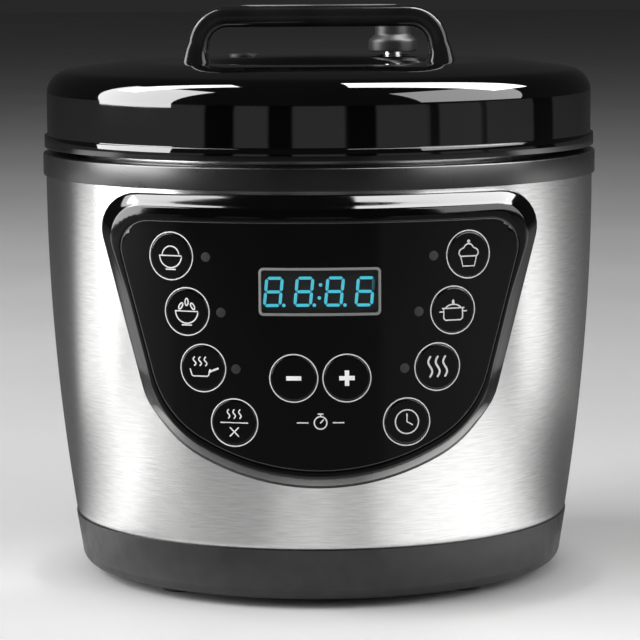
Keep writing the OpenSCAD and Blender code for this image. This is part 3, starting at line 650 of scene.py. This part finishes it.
BRASS = drawn_metal("pin_brass", (0.6, 0.45, 0.2), (0.8, 0.64, 0.34), 0.2, 0.35)
SHEATH = drawn_metal("element_sheath", (0.09, 0.08, 0.08), (0.2, 0.18, 0.17), 0.35, 0.55)

# CAD nodes that stay as they are, by finish
KEPT = {
    BASE: ["base_cover", "power_inlet", "cup_bracket", "float_seat"],
    RUBBER: ["rubber_feet"],
    ZINC: ["base_screws", "panel_screws", "lid_screws", "sensor_spring"],
    PRESSED: ["locking_ring", "lid_plate", "gasket_rack", "lid_nut", "valve_pipe", "steam_shield"],
    LINER: ["inner_housing", "support_bracket"],
    ALUMINIUM: ["heating_plate", "sensor_probe"],
    SHEATH: ["heating_element"], PHENOLIC: ["pressure_switch"], CERAMIC: ["thermal_fuse"],
    BOARD: ["power_board", "control_board"], COMPONENT: ["power_components", "tact_switches"],
    LEADS: ["wiring_harness"], BRASS: ["inlet_pins"], WHITE: ["display_holder"],
    MODULE: ["display_module"], RED: ["float_valve"], SILICONE: ["float_seal"],
}
BEVELLED = {
    "base_cover": 0.5, "power_inlet": 0.6, "cup_bracket": 0.8, "locking_ring": 0.3, "lid_plate": 0.4,
    "lid_nut": 0.4, "steam_shield": 0.2, "heating_plate": 0.4, "power_components": 0.5,
    "inlet_pins": 0.3, "rubber_feet": 0.6, "support_bracket": 0.3, "pressure_switch": 0.6,
}


def dress_cad_nodes():
    for material, names in KEPT.items():
        for name in names:
            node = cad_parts[name]
            node.data.materials.clear()
            node.data.materials.append(material)
            if name in BEVELLED:
                b = node.modifiers.new("edge", "BEVEL")
                b.width = BEVELLED[name] * MM
                b.segments = 2
                b.limit_method = "ANGLE"
                b.angle_limit = math.radians(50)
                b.harden_normals = True


# ---------- Housing ----------

def build_shell():
    steps = 48
    wall = 1 * MM
    heights = [SHELL_LOW + ARC_SPAN * i / steps for i in range(steps + 1)]
    outside = [(body_r_at(z), z) for z in heights[1:]]
    inside = [(body_r_at(z) - wall, z) for z in reversed(heights)]
    foot = [(body_r_at(SHELL_LOW) - 0.5 * MM, SHELL_LOW), (body_r_at(SHELL_LOW), SHELL_LOW + 0.6 * MM)]
    rim = [(SHELL_R, SHELL_HIGH), (SHELL_R - wall, SHELL_HIGH)]
    window = prism(fascia_outline(3), lambda x, z, side: (x, (-0.2, -0.06)[side], z))
    slack = 0.3 * MM
    holes = []
    for node in ("cup_bracket", "power_inlet"):
        lo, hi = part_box(node)
        holes.append(box_solid((lo.x + slack, 0.06, lo.z + slack), (hi.x - slack, 0.2, hi.z - slack)))
    mesh = cut(lathe(foot + outside + rim + inside, 256), window, *holes)
    piece("steel_shell", mesh, "root", STEEL, ["outer_shell"])


def build_collar():
    inner = 129.2 * MM
    ledge = 131 * MM
    seat = high("inner_housing").z + 0.1 * MM
    outline = fillet([
        (BAND_R, BAND_LOW, 0.5 * MM), (BAND_R, BAND_HIGH, 0.7 * MM), (inner, BAND_HIGH, 0.6 * MM),
        (inner, seat, 0), (ledge, seat, 0), (ledge, SHELL_HIGH, 0),
        (SHELL_R + 0.1 * MM, SHELL_HIGH, 0), (SHELL_R + 0.1 * MM, BAND_LOW, 0.3 * MM)])
    piece("collar_band", lathe(outline, 256), "root", SATIN, ["collar"])


# ---------- Control panel ----------

def build_bezel():
    """A bead round the fascia: steep sides that round over at the top, and a bevelled chin below."""
    root = bezel_outline()
    edge = fascia_outline()
    # Chin: share of the way across, and share of the height from body to face
    chin = [(0, -0.05), (0.01, 0.05), (0.05, 0.07), (0.1, 0.085), (0.13, 0.16), (0.24, 0.35), (0.38, 0.57),
            (0.52, 0.785), (0.62, 0.935), (0.655, 0.98), (0.69, 0.998), (0.75, 1.0), (0.84, 1.0), (0.93, 1.0),
            (0.97, 0.995), (1.0, 0.975)]
    chin_top = 106 * MM
    chin_full = 88 * MM

    # Shoulder: millimetres in from the edge, and millimetres behind the face
    shoulder = [(0.05, 8.0), (0.12, 6.5), (0.3, 6.0), (1.0, 5.3), (2.0, 4.35), (3.0, 3.45), (3.9, 2.65),
                (4.8, 1.9), (5.5, 1.25), (6.0, 0.7), (6.5, 0.3), (7.3, 0.0)]

    def profile(width, depth):
        """A steep side, a shoulder and a flat, with as many points as the chin has."""
        squeeze = min(1, 0.85 * width / (7.4 * MM)) * MM
        fall = min(1, 0.7 * depth / (5.6 * MM)) * MM
        points = [(s * squeeze / width, 1 - d * fall / depth) for s, d in shoulder]
        return chin[:1] + points + chin[-3:]

    loops = [[] for _ in chin]
    for (xo, zo), (xi, zi) in zip(root, edge):
        w = min(max((chin_top - zo) / (chin_top - chin_full), 0), 1)
        w = ease(w)
        depth = math.sqrt(body_r_at(zo) ** 2 - xo * xo) + face_y(xo)
        side = profile(math.dist((xo, zo), (xi, zi)), abs(depth))
        for loop, (sa, ha), (sb, hb) in zip(loops, side, chin):
            s = sa + (sb - sa) * w
            h = ha + (hb - ha) * w
            x, z = xo + (xi - xo) * s, zo + (zi - zo) * s
            back = -math.sqrt(body_r_at(z) ** 2 - x * x)
            loop.append((x, back + (face_y(x) - back) * h, z))
    well = [(x, face_y(x, 2.5 * MM), z) for x, z in edge]
    foot = [(x * 0.985, -math.sqrt(body_r_at(z) ** 2 - x * x) + 0.6 * MM, z) for x, z in root]
    loops += [well, foot]
    piece("panel_bezel", bands(loops), "root", BEZEL, ["control_bezel"], 50)


def build_fascia():
    rings = [(2.0, 0.0), (0.5, 0.0), (0.15, 0.15), (0.0, 0.5)]
    loops = [[(x, z, depth * MM) for x, z in fascia_outline(inset)] for depth, inset in rings]
    plate = bands(loops, closed=False, capped=True)
    holes = []
    for x, z in KEYS.values():
        squeeze = math.cos(math.asin(x * MM / FACE_R))
        holes.append(oval(x, z, (KEY_R + GAP) / MM * squeeze, (KEY_R + GAP) / MM, n=72))
    for x, z in LAMPS:
        squeeze = math.cos(math.asin(x * MM / FACE_R))
        holes.append(oval(x, z, LAMP_R / MM * squeeze, LAMP_R / MM, n=32))
    cutters = [prism(hole, lambda x, z, side: (x * MM, z * MM, (-0.01, 0.01)[side])) for hole in holes]
    lo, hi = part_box("display_frame")
    window = fillet([(x, z, FRAME_CORNER) for x, z in corners_of(lo, hi)])
    cutters.append(prism(window, lambda x, z, side: (x, z, (-0.01, 0.01)[side])))
    mesh = cut(plate, *cutters)
    bm = bmesh.new()
    bm.from_mesh(mesh)
    bmesh.ops.triangulate(bm, faces=bm.faces)
    strips = 70
    half = max(v.co.x for v in bm.verts)
    for i in range(1, strips):
        x = -half + 2 * half * i / strips
        geometry = bm.verts[:] + bm.edges[:] + bm.faces[:]
        bmesh.ops.bisect_plane(bm, geom=geometry, dist=1e-7, plane_co=(x, 0, 0), plane_no=(1, 0, 0))
    for v in bm.verts:
        x, z, depth = v.co
        v.co = (x, face_y(x, depth), z)
    bmesh.ops.recalc_face_normals(bm, faces=bm.faces)
    bm.to_mesh(mesh)
    bm.free()
    piece("fascia_face", mesh, "root", FASCIA, ["control_fascia"], 20)


def build_painted_edge_highlight():
    """The thin grey bead that runs round the fascia's edge: its grey is a painted highlight, standing in for
    light caught on the edge.
    """
    path = [(x / MM, z / MM) for x, z in fascia_outline(0.35)]
    verts, faces = stroke(path, 0.45, 0.14, closed=True)
    verts = [(x, face_y(x) - h, z) for x, z, h in verts]
    piece("fascia_painted_highlight", (verts, faces), "root", PAINTED_EDGE_HIGHLIGHT)


def key_solid():
    """Cap with a slight dome and a rounded rim, and a flared shoulder below it, about the local h axis."""
    rim = 0.35 * MM
    cap = [(KEY_R * k / 12, DOME_TOP - DOME_FALL * (k / 12) ** 2) for k in range(12)]
    edge = DOME_TOP - DOME_FALL
    cap += arc(KEY_R - rim, edge - rim, rim, 80, 0, 5)
    shoulder = -2.6 * MM
    flare = KEY_R + 1.4 * MM
    outline = cap + [(KEY_R, shoulder), (flare, shoulder), (flare, shoulder - MM), (0, shoulder - MM)]
    return lathe(outline, 96)


def build_keys():
    stem_r = 1.6 * MM
    stem_top = -3.4 * MM
    stem_low = -8 * MM
    stem = lathe([(0, stem_top), (stem_r, stem_top), (stem_r, stem_low), (0, stem_low)], 24)
    middle = (RING_IN + RING_OUT) / 2 / MM
    ring = stroke(oval(0, 0, middle, middle, n=96), (RING_OUT - RING_IN) / MM, 0.09, closed=True)
    for name, (x, z) in KEYS.items():
        piece(name + "_cap", placed(joined(key_solid(), stem), x, z), name, KEY, [name])
        material = PRINT_WHITE if name in ("minus_key", "plus_key") else PRINT
        print_mesh = placed(joined(*MARKS[name]()), x, z, on_key)
        piece(name + "_mark", print_mesh, name, material)
        piece(name + "_ring", placed(ring, x, z, on_face), "root", PRINT)
    piece("timer_mark", placed(joined(*mark_timer()), 0, TIMER_Z, on_face), "root", PRINT)


def build_lamps():
    rise = 0.08 * MM
    length = 6 * MM
    angles = [math.radians(a) for a in range(0, 91, 15)]
    dome = [(LAMP_R * math.sin(a), rise * math.cos(a)) for a in angles]
    cap = lathe(dome + [(LAMP_R, -length), (0, -length)], 32)
    parts = [placed(cap, x, z) for x, z in LAMPS]
    piece("lamp_caps", joined(*parts), "root", LAMP, ["indicator_lamps"])


# ---------- Display ----------

def build_display():
    lo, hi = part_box("display_frame")
    width = 1.2 * MM
    corners = corners_of(lo, hi)

    def rounded(inset, r):
        sx = (1, -1, -1, 1)
        sz = (1, 1, -1, -1)
        pts = fillet([(x + sx[i] * inset, z + sz[i] * inset, r) for i, (x, z) in enumerate(corners)], 6)
        return dense(pts)

    def dense(points):
        out = []
        for i, a in enumerate(points):
            b = points[(i + 1) % len(points)]
            n = max(1, round(math.dist(a, b) / (3 * MM)))
            out += straight(a, b, n)[:-1]
        return out

    # Share of the way from the outer to the inner edge, and millimetres behind the face
    profile = [(0.0, 1.5), (0.0, -0.05), (0.25, -0.2), (0.95, -0.2), (1.0, -0.05), (1.0, 1.5)]
    base = rounded(0, FRAME_CORNER)
    inner = rounded(width, 1.2 * MM)
    loops = []
    for share, depth in profile:
        loop = []
        for (xa, za), (xb, zb) in zip(base, inner):
            x, z = xa + (xb - xa) * share, za + (zb - za) * share
            loop.append((x, face_y(x, depth * MM), z))
        loops.append(loop)
    piece("display_trim", bands(loops), "root", FRAME_GREY, ["display_frame"], 50)

    strips = 24
    half = hi.x - width
    lens_loops = []
    for i in range(strips + 1):
        x = -half + 2 * half * i / strips
        front, back = face_y(x, 0.25 * MM), face_y(x, 1.1 * MM)
        bottom, top = lo.z + width, hi.z - width
        lens_loops.append([(x, front, bottom), (x, front, top), (x, back, top), (x, back, bottom)])
    piece("display_lens", bands(lens_loops, closed=False, capped=True), "root", LENS, ["display_window"],
          50)
    build_digits()


def bar_solid(a, b, half, y, chamfer=0.35):
    """A light bar with pointed ends from a to b in (x, z) millimetres, standing out of the module at y."""
    a, b = Vector(a), Vector(b)
    t = (b - a).normalized()
    n = Vector((-t.y, t.x))
    gap = 0.28

    def loop(inset, depth):
        h = half - inset
        start, end = a + t * (gap + inset), b - t * (gap + inset)
        corners = [start, start + (t + n) * h, end - (t - n) * h, end, end - (t + n) * h, start + (t - n) * h]
        return [(c.x * MM, y - depth * MM, c.y * MM) for c in corners]

    return bands([loop(0, -0.2), loop(0, 0.12), loop(chamfer * half, 0.3)], closed=False, capped=True)


def build_digits():
    y = low("display_module").y
    height, width, pitch, half, slant = 14.4, 8.8, 14.45, 0.72, 0.1
    first, bottom = -27.1, 150.7
    # Each bar of a digit: its two ends as shares of width and height
    bars = {"a": (0, 2, 1, 2), "b": (1, 1, 1, 2), "c": (1, 0, 1, 1), "d": (0, 0, 1, 0),
            "e": (0, 0, 0, 1), "f": (0, 1, 0, 2), "g": (0, 1, 1, 1)}
    xs = (half, width - half)
    zs = (half, height / 2, height - half)

    def at(i, u, v):
        return first + i * pitch + xs[u] + zs[v] * slant, bottom + zs[v]

    bright, dim = [], []
    for i in range(4):
        for name, (u0, v0, u1, v1) in bars.items():
            solid = bar_solid(at(i, u0, v0), at(i, u1, v1), half, y)
            (dim if i == 3 and name == "b" else bright).append(solid)

    def dot(x, z, r=0.85):
        outline = oval(x, z, r, r, n=20)
        loops = [[(px * MM, y + 0.2 * MM, pz * MM) for px, pz in outline],
                 [(px * MM, y - 0.15 * MM, pz * MM) for px, pz in outline],
                 [((x + (px - x) * 0.7) * MM, y - 0.3 * MM, (z + (pz - z) * 0.7) * MM) for px, pz in outline]]
        return bands(loops, closed=False, capped=True)

    bright += [dot(first + i * pitch + width + 1.2, bottom + half) for i in range(3)]
    bright += [dot(first + 2 * pitch - 2.5 + z * slant, bottom + z) for z in (4.2, 10.4)]
    piece("display_digits", joined(*bright), "root", CYAN, ["display_segments"])
    piece("display_dim_bar", joined(*dim), "root", CYAN_DIM)


# ---------- Lid ----------

def build_lid():
    wall = 2.8 * MM
    skirt = LIP_R - 1.4 * MM
    lip_top = LID_LOW + 6.2 * MM
    shoulder = 12 * MM
    shoulder_z = 246 * MM
    well_r = 47 * MM
    well_z = 254 * MM
    lip = arc(LIP_R - 0.5 * MM, LID_LOW + 0.5 * MM, 0.5 * MM, -90, 0, 5)
    lip += arc(LIP_R - 0.3 * MM, lip_top - 0.3 * MM, 0.3 * MM, 0, 85, 4)
    # The step from the lip in to the skirt, in millimetres out from the skirt and up from the lip
    lip += [(skirt + out * MM, lip_top + up * MM) for out, up in ((0.15, 0.02), (0.02, 0.1), (0, 0.3))]
    wall_up = [(skirt, lip_top + d * MM) for d in (0.6, 1.0)]
    wall_up += [(skirt, lip_top + (shoulder_z - lip_top) * k / 6) for k in range(1, 7)]
    crown = arc(skirt - shoulder, shoulder_z, shoulder, 5, 78, 12)
    ridge = [(r * MM, DOME_Z - drop * MM) for r, drop in ((100, 0), (84, 0), (70, 0.1), (62, 0.4))]
    slope_r, slope_z = ridge[-1]
    slope = []
    for k in range(1, 10):
        t = k / 9
        slope.append((slope_r + (well_r - 5 * MM - slope_r) * t, slope_z + (well_z - slope_z) * ease(t)))
    well = [(28 * MM, well_z - 0.15 * MM), (12 * MM, well_z - 0.2 * MM), (0, well_z - 0.2 * MM)]
    outside = lip + wall_up + crown + ridge + slope + well
    inside = [(0, well_z - wall), (38 * MM, well_z - wall), (55 * MM, DOME_Z - wall)]
    inside += [(118 * MM, DOME_Z - wall - 1 * MM), (skirt - wall - 4 * MM, shoulder_z + 6 * MM)]
    inside += [(skirt - wall, shoulder_z), (skirt - wall, LID_LOW)]
    valve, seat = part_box("valve_pipe"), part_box("float_seat")
    holes = []
    for lo, hi, r in ((*valve, 9 * MM), (*seat, 5.9 * MM)):
        cx, cy = (lo.x + hi.x) / 2, (lo.y + hi.y) / 2
        outline = oval(cx, cy, r, r, n=64)
        holes.append(prism(outline, lambda x, y, side: (x, y, (0.235, 0.28)[side])))
    mesh = cut(lathe(outside + inside, 256), *holes)
    piece("lid_shell", mesh, "lid", LID, ["lid_cover"], 30)


def build_handle():
    """One bar swept up from the lid, across and down again, with a section that flares at its feet."""
    top = HANDLE_HIGH.z
    base = HANDLE_LOW.z
    foot_x = HANDLE_HIGH.x - 7 * MM
    thick = 11 * MM
    middle_z = top - thick / 2
    bend = 15 * MM
    right = [(foot_x, base - 2 * MM), (foot_x, base + 2 * MM), (foot_x - 0.3 * MM, base + 5 * MM)]
    right += arc(foot_x - 1.5 * MM - bend, middle_z - bend, bend, 4, 90, 10)
    path = right + [(x, middle_z) for x in (26 * MM, 13 * MM, 0)]
    path += [(-x, z) for x, z in reversed(path[:-1])]
    sides = 32
    loops = []
    last = len(path) - 1
    for i, (x, z) in enumerate(path):
        a, b = path[max(i - 1, 0)], path[min(i + 1, last)]
        t = Vector((b[0] - a[0], b[1] - a[1])).normalized()
        n = Vector((t.y, -t.x))
        flare = max(0, 1 - (z - base) / (9 * MM)) ** 2
        half_w = HANDLE_HIGH.y - (1 - flare) * 1.2 * MM
        half_t = thick / 2 + flare * 1.4 * MM
        loop = []
        for c, s in circle(sides):
            u = half_t * square_off(c, 0.5)
            loop.append((x + n.x * u, half_w * square_off(s, 0.36), z + n.y * u))
        loops.append(loop)
    piece("handle_bar", bands(loops, closed=False, capped=True), "lid", HANDLE, ["lid_handle"],
          60)
    lo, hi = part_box("handle_insert")
    ends = arc(hi.x - hi.y, 0, hi.y, -90, 90, 14) + arc(lo.x + hi.y, 0, hi.y, 90, 270, 14)
    shape = []
    for inset, z in ((0, lo.z - 1 * MM), (0, top - 0.2 * MM), (0.4 * MM, top + 0.15 * MM)):
        shape.append([(x - math.copysign(inset, x), y * (1 - inset / hi.y), z) for x, y in ends])
    steel = brushed_steel("insert_steel", grey(0.6), grey(0.74), (40, 4000, 40), turned=False)
    piece("handle_strip", bands(shape, closed=False, capped=True), "lid", steel, ["handle_insert"],
          40)


def build_release_valve():
    lo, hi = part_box("release_valve")
    pipe_lo, pipe_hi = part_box("valve_pipe")
    cx, cy = (pipe_lo.x + pipe_hi.x) / 2, (pipe_lo.y + pipe_hi.y) / 2
    r = hi.x - cx
    bore = 5.08 * MM
    z0, z1 = lo.z, hi.z
    outline = fillet([
        (bore, z0, 0), (r, z0, 1 * MM), (r, z0 + 6 * MM, 2.4 * MM), (r - 3.4 * MM, z0 + 9 * MM, 1.5 * MM),
        (r - 3.6 * MM, z1, 2.6 * MM), (0, z1, 0), (0, z0 + 10 * MM, 0), (bore, z0 + 10 * MM, 0)])
    knob = lathe(outline, 96)
    knob = ([(x + cx, y + cy, z) for x, y, z in knob[0]], knob[1])
    half = 4.5 * MM
    reach = hi.y - cy
    sides = 20
    # Along the lever: share of its reach, share of its width, and millimetres down
    stations = ((0.0, 1.0, 0.0), (0.45, 1.0, 0.0), (0.8, 1.12, 0.6), (0.95, 1.1, 1.0), (1.0, 0.8, 1.6))
    loops = []
    for share, width, drop in stations:
        loop = []
        for c, s in circle(sides):
            x = half * width * square_off(c, 0.5)
            z = z1 - 3.8 * MM - drop * MM + 3.6 * MM * square_off(s, 0.5) * (1.1 - 0.1 * width)
            loop.append((cx + x, cy + reach * share, z))
        loops.append(loop)
    lever = bands(loops, closed=False, capped=True)
    piece("steam_knob", joined(knob, lever), "release_valve", VALVE, ["release_valve"], 40)


# ---------- Pot, ring and cup ----------

def build_pot():
    lo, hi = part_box("inner_pot")
    r = 111 * MM
    rim = hi.x
    wall = 1 * MM
    bend = 9 * MM
    outside = [(0, lo.z + 0.3 * MM), (60 * MM, lo.z), (90 * MM, lo.z)]
    outside += arc(r - bend, lo.z + bend, bend, -85, 0, 10)
    outside += [(r, hi.z - 4 * MM), (r + 0.6 * MM, hi.z - 2.2 * MM), (r + 2 * MM, hi.z - 1.25 * MM)]
    flange = arc(rim - 0.6 * MM, hi.z - 0.6 * MM, 0.6 * MM, -80, 80, 6)
    inner = [(r + 2 * MM, hi.z), (r, hi.z - 0.5 * MM), (r - wall, hi.z - 3 * MM)]
    inside = arc(r - bend, lo.z + 1.6 * MM + bend - wall, bend - wall, 0, -85, 10)
    floor = [(60 * MM, lo.z + 1.6 * MM), (0, lo.z + 1.7 * MM)]
    outline = outside + flange + inner + inside + floor
    piece("cooking_pot", lathe(outline, 192), "inner_pot", POT, ["inner_pot"], 40)


def build_seal():
    lo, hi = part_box("sealing_ring")
    inner = 109.5 * MM
    groove = 116 * MM
    outline = fillet([
        (inner, lo.z, 0.8 * MM), (hi.x, lo.z, 1.2 * MM), (hi.x, hi.z, 1.2 * MM), (inner, hi.z, 0.8 * MM),
        (inner, hi.z - 3 * MM, 0.8 * MM), (groove, hi.z - 4.5 * MM, 1.5 * MM),
        (groove, lo.z + 4.5 * MM, 1.5 * MM), (inner, lo.z + 3 * MM, 0.8 * MM)], 4)
    piece("silicone_ring", lathe(outline, 192), "sealing_ring", SILICONE, ["sealing_ring"], 50)


def build_cup():
    lo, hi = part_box("condensation_cup")
    wall = 1.6 * MM

    def loop(inset, z, r):
        corners = [(lo.x + inset, lo.y + inset), (hi.x - inset, lo.y + inset), (hi.x - inset, hi.y - inset),
                   (lo.x + inset, hi.y - inset)]
        return [(x, y, z) for x, y in fillet([(*c, r) for c in corners], 6)]

    outside = [loop(1.2 * MM, lo.z, 2.6 * MM), loop(0.35 * MM, lo.z + 0.35 * MM, 3 * MM),
               loop(0, lo.z + 1.2 * MM, 3 * MM), loop(0, hi.z - 0.4 * MM, 3 * MM)]
    rim = [loop(0.4 * MM, hi.z, 2.8 * MM), loop(wall - 0.4 * MM, hi.z, 1.8 * MM)]
    inside = [loop(wall, hi.z - 0.4 * MM, 1.6 * MM), loop(wall, lo.z + wall + 1 * MM, 1.6 * MM),
              loop(wall + 1 * MM, lo.z + wall, 1.2 * MM)]
    loops = outside + rim + inside
    piece("drip_cup", bands(loops, closed=False, capped=True), "condensation_cup", CUP, ["condensation_cup"],
          40)


# ---------- Studio ----------

def away(azimuth, elevation=0.0):
    """Direction from the object: azimuth 0 is towards the camera, positive to the right."""
    a, e = math.radians(azimuth), math.radians(elevation)
    return Vector((math.sin(a) * math.cos(e), -math.cos(a) * math.cos(e), math.sin(e)))


def floor_ring(name, r0, r1, tones):
    """A ring on the floor that only reflections see; tones are pairs of azimuth in degrees and radiance."""
    peak = 2.0
    steps = 90
    f = Finish(name, Roughness=0.9, Emission_Strength=peak)
    f.colour(f.noise(2), 0.002, 0.003)
    turn = f.node("ShaderNodeMapRange")
    turn.inputs["From Min"].default_value = -math.pi
    turn.inputs["From Max"].default_value = math.pi
    f.link(f.azimuth()[1].outputs["Value"], turn.inputs["Value"])
    ramp = f.ramp(turn.outputs["Result"], [((a + 180) / 360, value / peak) for a, value in tones])
    f.link(ramp, f.shader.inputs["Emission Color"])
    rays = [away(360 * i / steps) for i in range(steps)]
    loops = [[(p.x * r, p.y * r, 0.004) for p in rays] for r in (r0, r1)]
    mesh = make_mesh(name, bands(loops, closed=False))
    mesh.materials.append(f.material)
    obj = add(name, mesh)
    obj.visible_camera = False
    obj.visible_shadow = False
    obj.visible_diffuse = False
    obj.visible_transmission = False


def softbox(name, centre, aim, width, height, radiance, diffuse=True, glossy=True):
    light = bpy.data.lights.new(name, "AREA")
    light.shape = "RECTANGLE"
    light.size, light.size_y = width, height
    light.energy = radiance * math.pi * width * height
    obj = add(name, light)
    obj.location = centre
    obj.rotation_euler = (Vector(centre) - Vector(aim)).to_track_quat("Z", "Y").to_euler()
    obj.visible_camera = False
    obj.visible_diffuse = diffuse
    obj.visible_glossy = glossy


def side_box(name, az0, az1, el0, el1, distance, radiance):
    """A softbox that fills a range of directions as seen from the object."""
    width = 2 * distance * math.tan(math.radians(abs(az1 - az0) / 2))
    height = 2 * distance * math.tan(math.radians(abs(el1 - el0) / 2))
    aim = Vector((0, 0, 0.15))
    softbox(name, aim + away((az0 + az1) / 2, (el0 + el1) / 2) * distance, aim, width, height, radiance)


def build_studio():
    mesh = bpy.data.meshes.new("floor")
    size = 30
    corners = [(-size, -size, 0), (size, -size, 0), (size, size, 0), (-size, size, 0)]
    mesh.from_pydata(corners, [], [(0, 1, 2, 3)])
    pale = Finish("floor_pale", Roughness=0.6)
    pale.colour(pale.noise(3), grey(0.58), grey(0.62))
    mesh.materials.append(pale.material)
    floor = add("floor", mesh)
    world = bpy.data.worlds.new("studio")
    world.use_nodes = True
    background = world.node_tree.nodes["Background"]
    background.inputs["Color"].default_value = (0.03, 0.03, 0.03, 1)
    background.inputs["Strength"].default_value = 1.0
    bpy.context.scene.world = world
    side_box("left_box", -103, -60, 0, 50, 2.4, 8.0)
    side_box("right_box", 40, 92, 4, 46, 2.4, 3.4)
    softbox("right_strip", (1.25, 0.1, 2.0), (0.6, 0, 0.2), 1.0, 2.2, 16, diffuse=False)
    softbox("left_strip", (-1.45, 0.1, 1.9), (-0.6, 0, 0.2), 0.5, 1.7, 14, diffuse=False)
    softbox("fill", (0, -0.3, 2.6), (0, 0, 0), 2.6, 2.6, 1.2, glossy=False)
    # Three rings that only reflections see. They aren't plain studio light: their tones and the places of
    # their bands were worked back from grey levels read off the photograph, through the angle at which each
    # surface reflects, and then adjusted against it. Without them only the softboxes and the world light
    # the scene. This one is what the steel below the panel reflects
    floor_ring("floor_near", 0.15, 0.45, [
        (-180, 0.03), (-136, 0.03), (-125, 0.04), (-116, 0.12), (-108, 0.3), (-98, 0.6), (-88, 1.0),
        (-80, 1.3), (-72, 1.3), (-66, 0.85), (-58, 0.45), (-48, 0.36), (-20, 0.42), (-10, 0.7), (0, 0.75),
        (8, 0.62), (14, 0.6), (20, 0.95), (27, 1.2), (33, 1.3), (40, 1.4), (53, 1.5), (67, 1.3),
        (75, 1.0), (83, 0.6), (91, 0.3), (100, 0.12), (110, 0.05), (122, 0.03), (180, 0.03)])
    # What the panel and the upper part of the steel reflect
    floor_ring("floor_middle", 0.45, 3.0, [
        (-180, 0.03), (-139, 0.03), (-128, 0.04), (-122, 0.08), (-118, 0.45), (-113, 1.1), (-106, 1.4),
        (-92, 1.4), (-87, 0.5), (-83, 0.06), (-50, 0.08), (-47, 0.03), (-8, 0.025), (18, 0.03),
        (21, 0.09), (80, 0.09), (84, 0.6), (89, 1.5), (98, 1.5), (106, 0.9), (114, 0.45), (122, 0.25),
        (132, 0.14), (147, 0.06), (180, 0.03)])
    # What the lid's skirt reflects, with its dark bands
    floor_ring("floor_far", 3.0, 14, [
        (-180, 0.01), (-140, 0.05), (-110, 0.13), (-90, 0.2), (-47.2, 0.24), (-46.7, 0.0), (-34.9, 0.0),
        (-34.4, 0.24), (-20.3, 0.24), (-19.8, 0.0), (-10.7, 0.0), (-10.2, 0.24), (10.8, 0.24), (11.3, 0.0),
        (22.5, 0.0), (23, 0.24), (44.9, 0.24), (45.4, 0.03), (49.4, 0.03), (49.9, 0.24), (69.9, 0.24),
        (70.4, 0.06), (71.8, 0.06), (72.3, 0.22), (99.1, 0.17), (99.6, 0.01), (112.9, 0.01), (113.4, 0.12),
        (140, 0.05), (180, 0.01)])
    bpy.context.scene.view_settings.view_transform = "Standard"


def build_camera():
    data = bpy.data.cameras.new("camera")
    data.lens = 174.2
    data.sensor_width = 36
    camera = add("camera", data)
    looking_down = 6.88
    pitch = math.radians(90 - looking_down)
    roll = math.radians(-0.35)
    turn = Matrix.Rotation(pitch, 4, "X") @ Matrix.Rotation(roll, 4, "Z")
    camera.matrix_world = Matrix.Translation((0, -1.6, 0.32)) @ turn
    bpy.context.scene.camera = camera


build_camera()
build_studio()
dress_cad_nodes()
build_shell()
build_collar()
build_bezel()
build_fascia()
build_painted_edge_highlight()
build_keys()
build_lamps()
build_display()
build_lid()
build_handle()
build_release_valve()
build_pot()
build_seal()
build_cup()
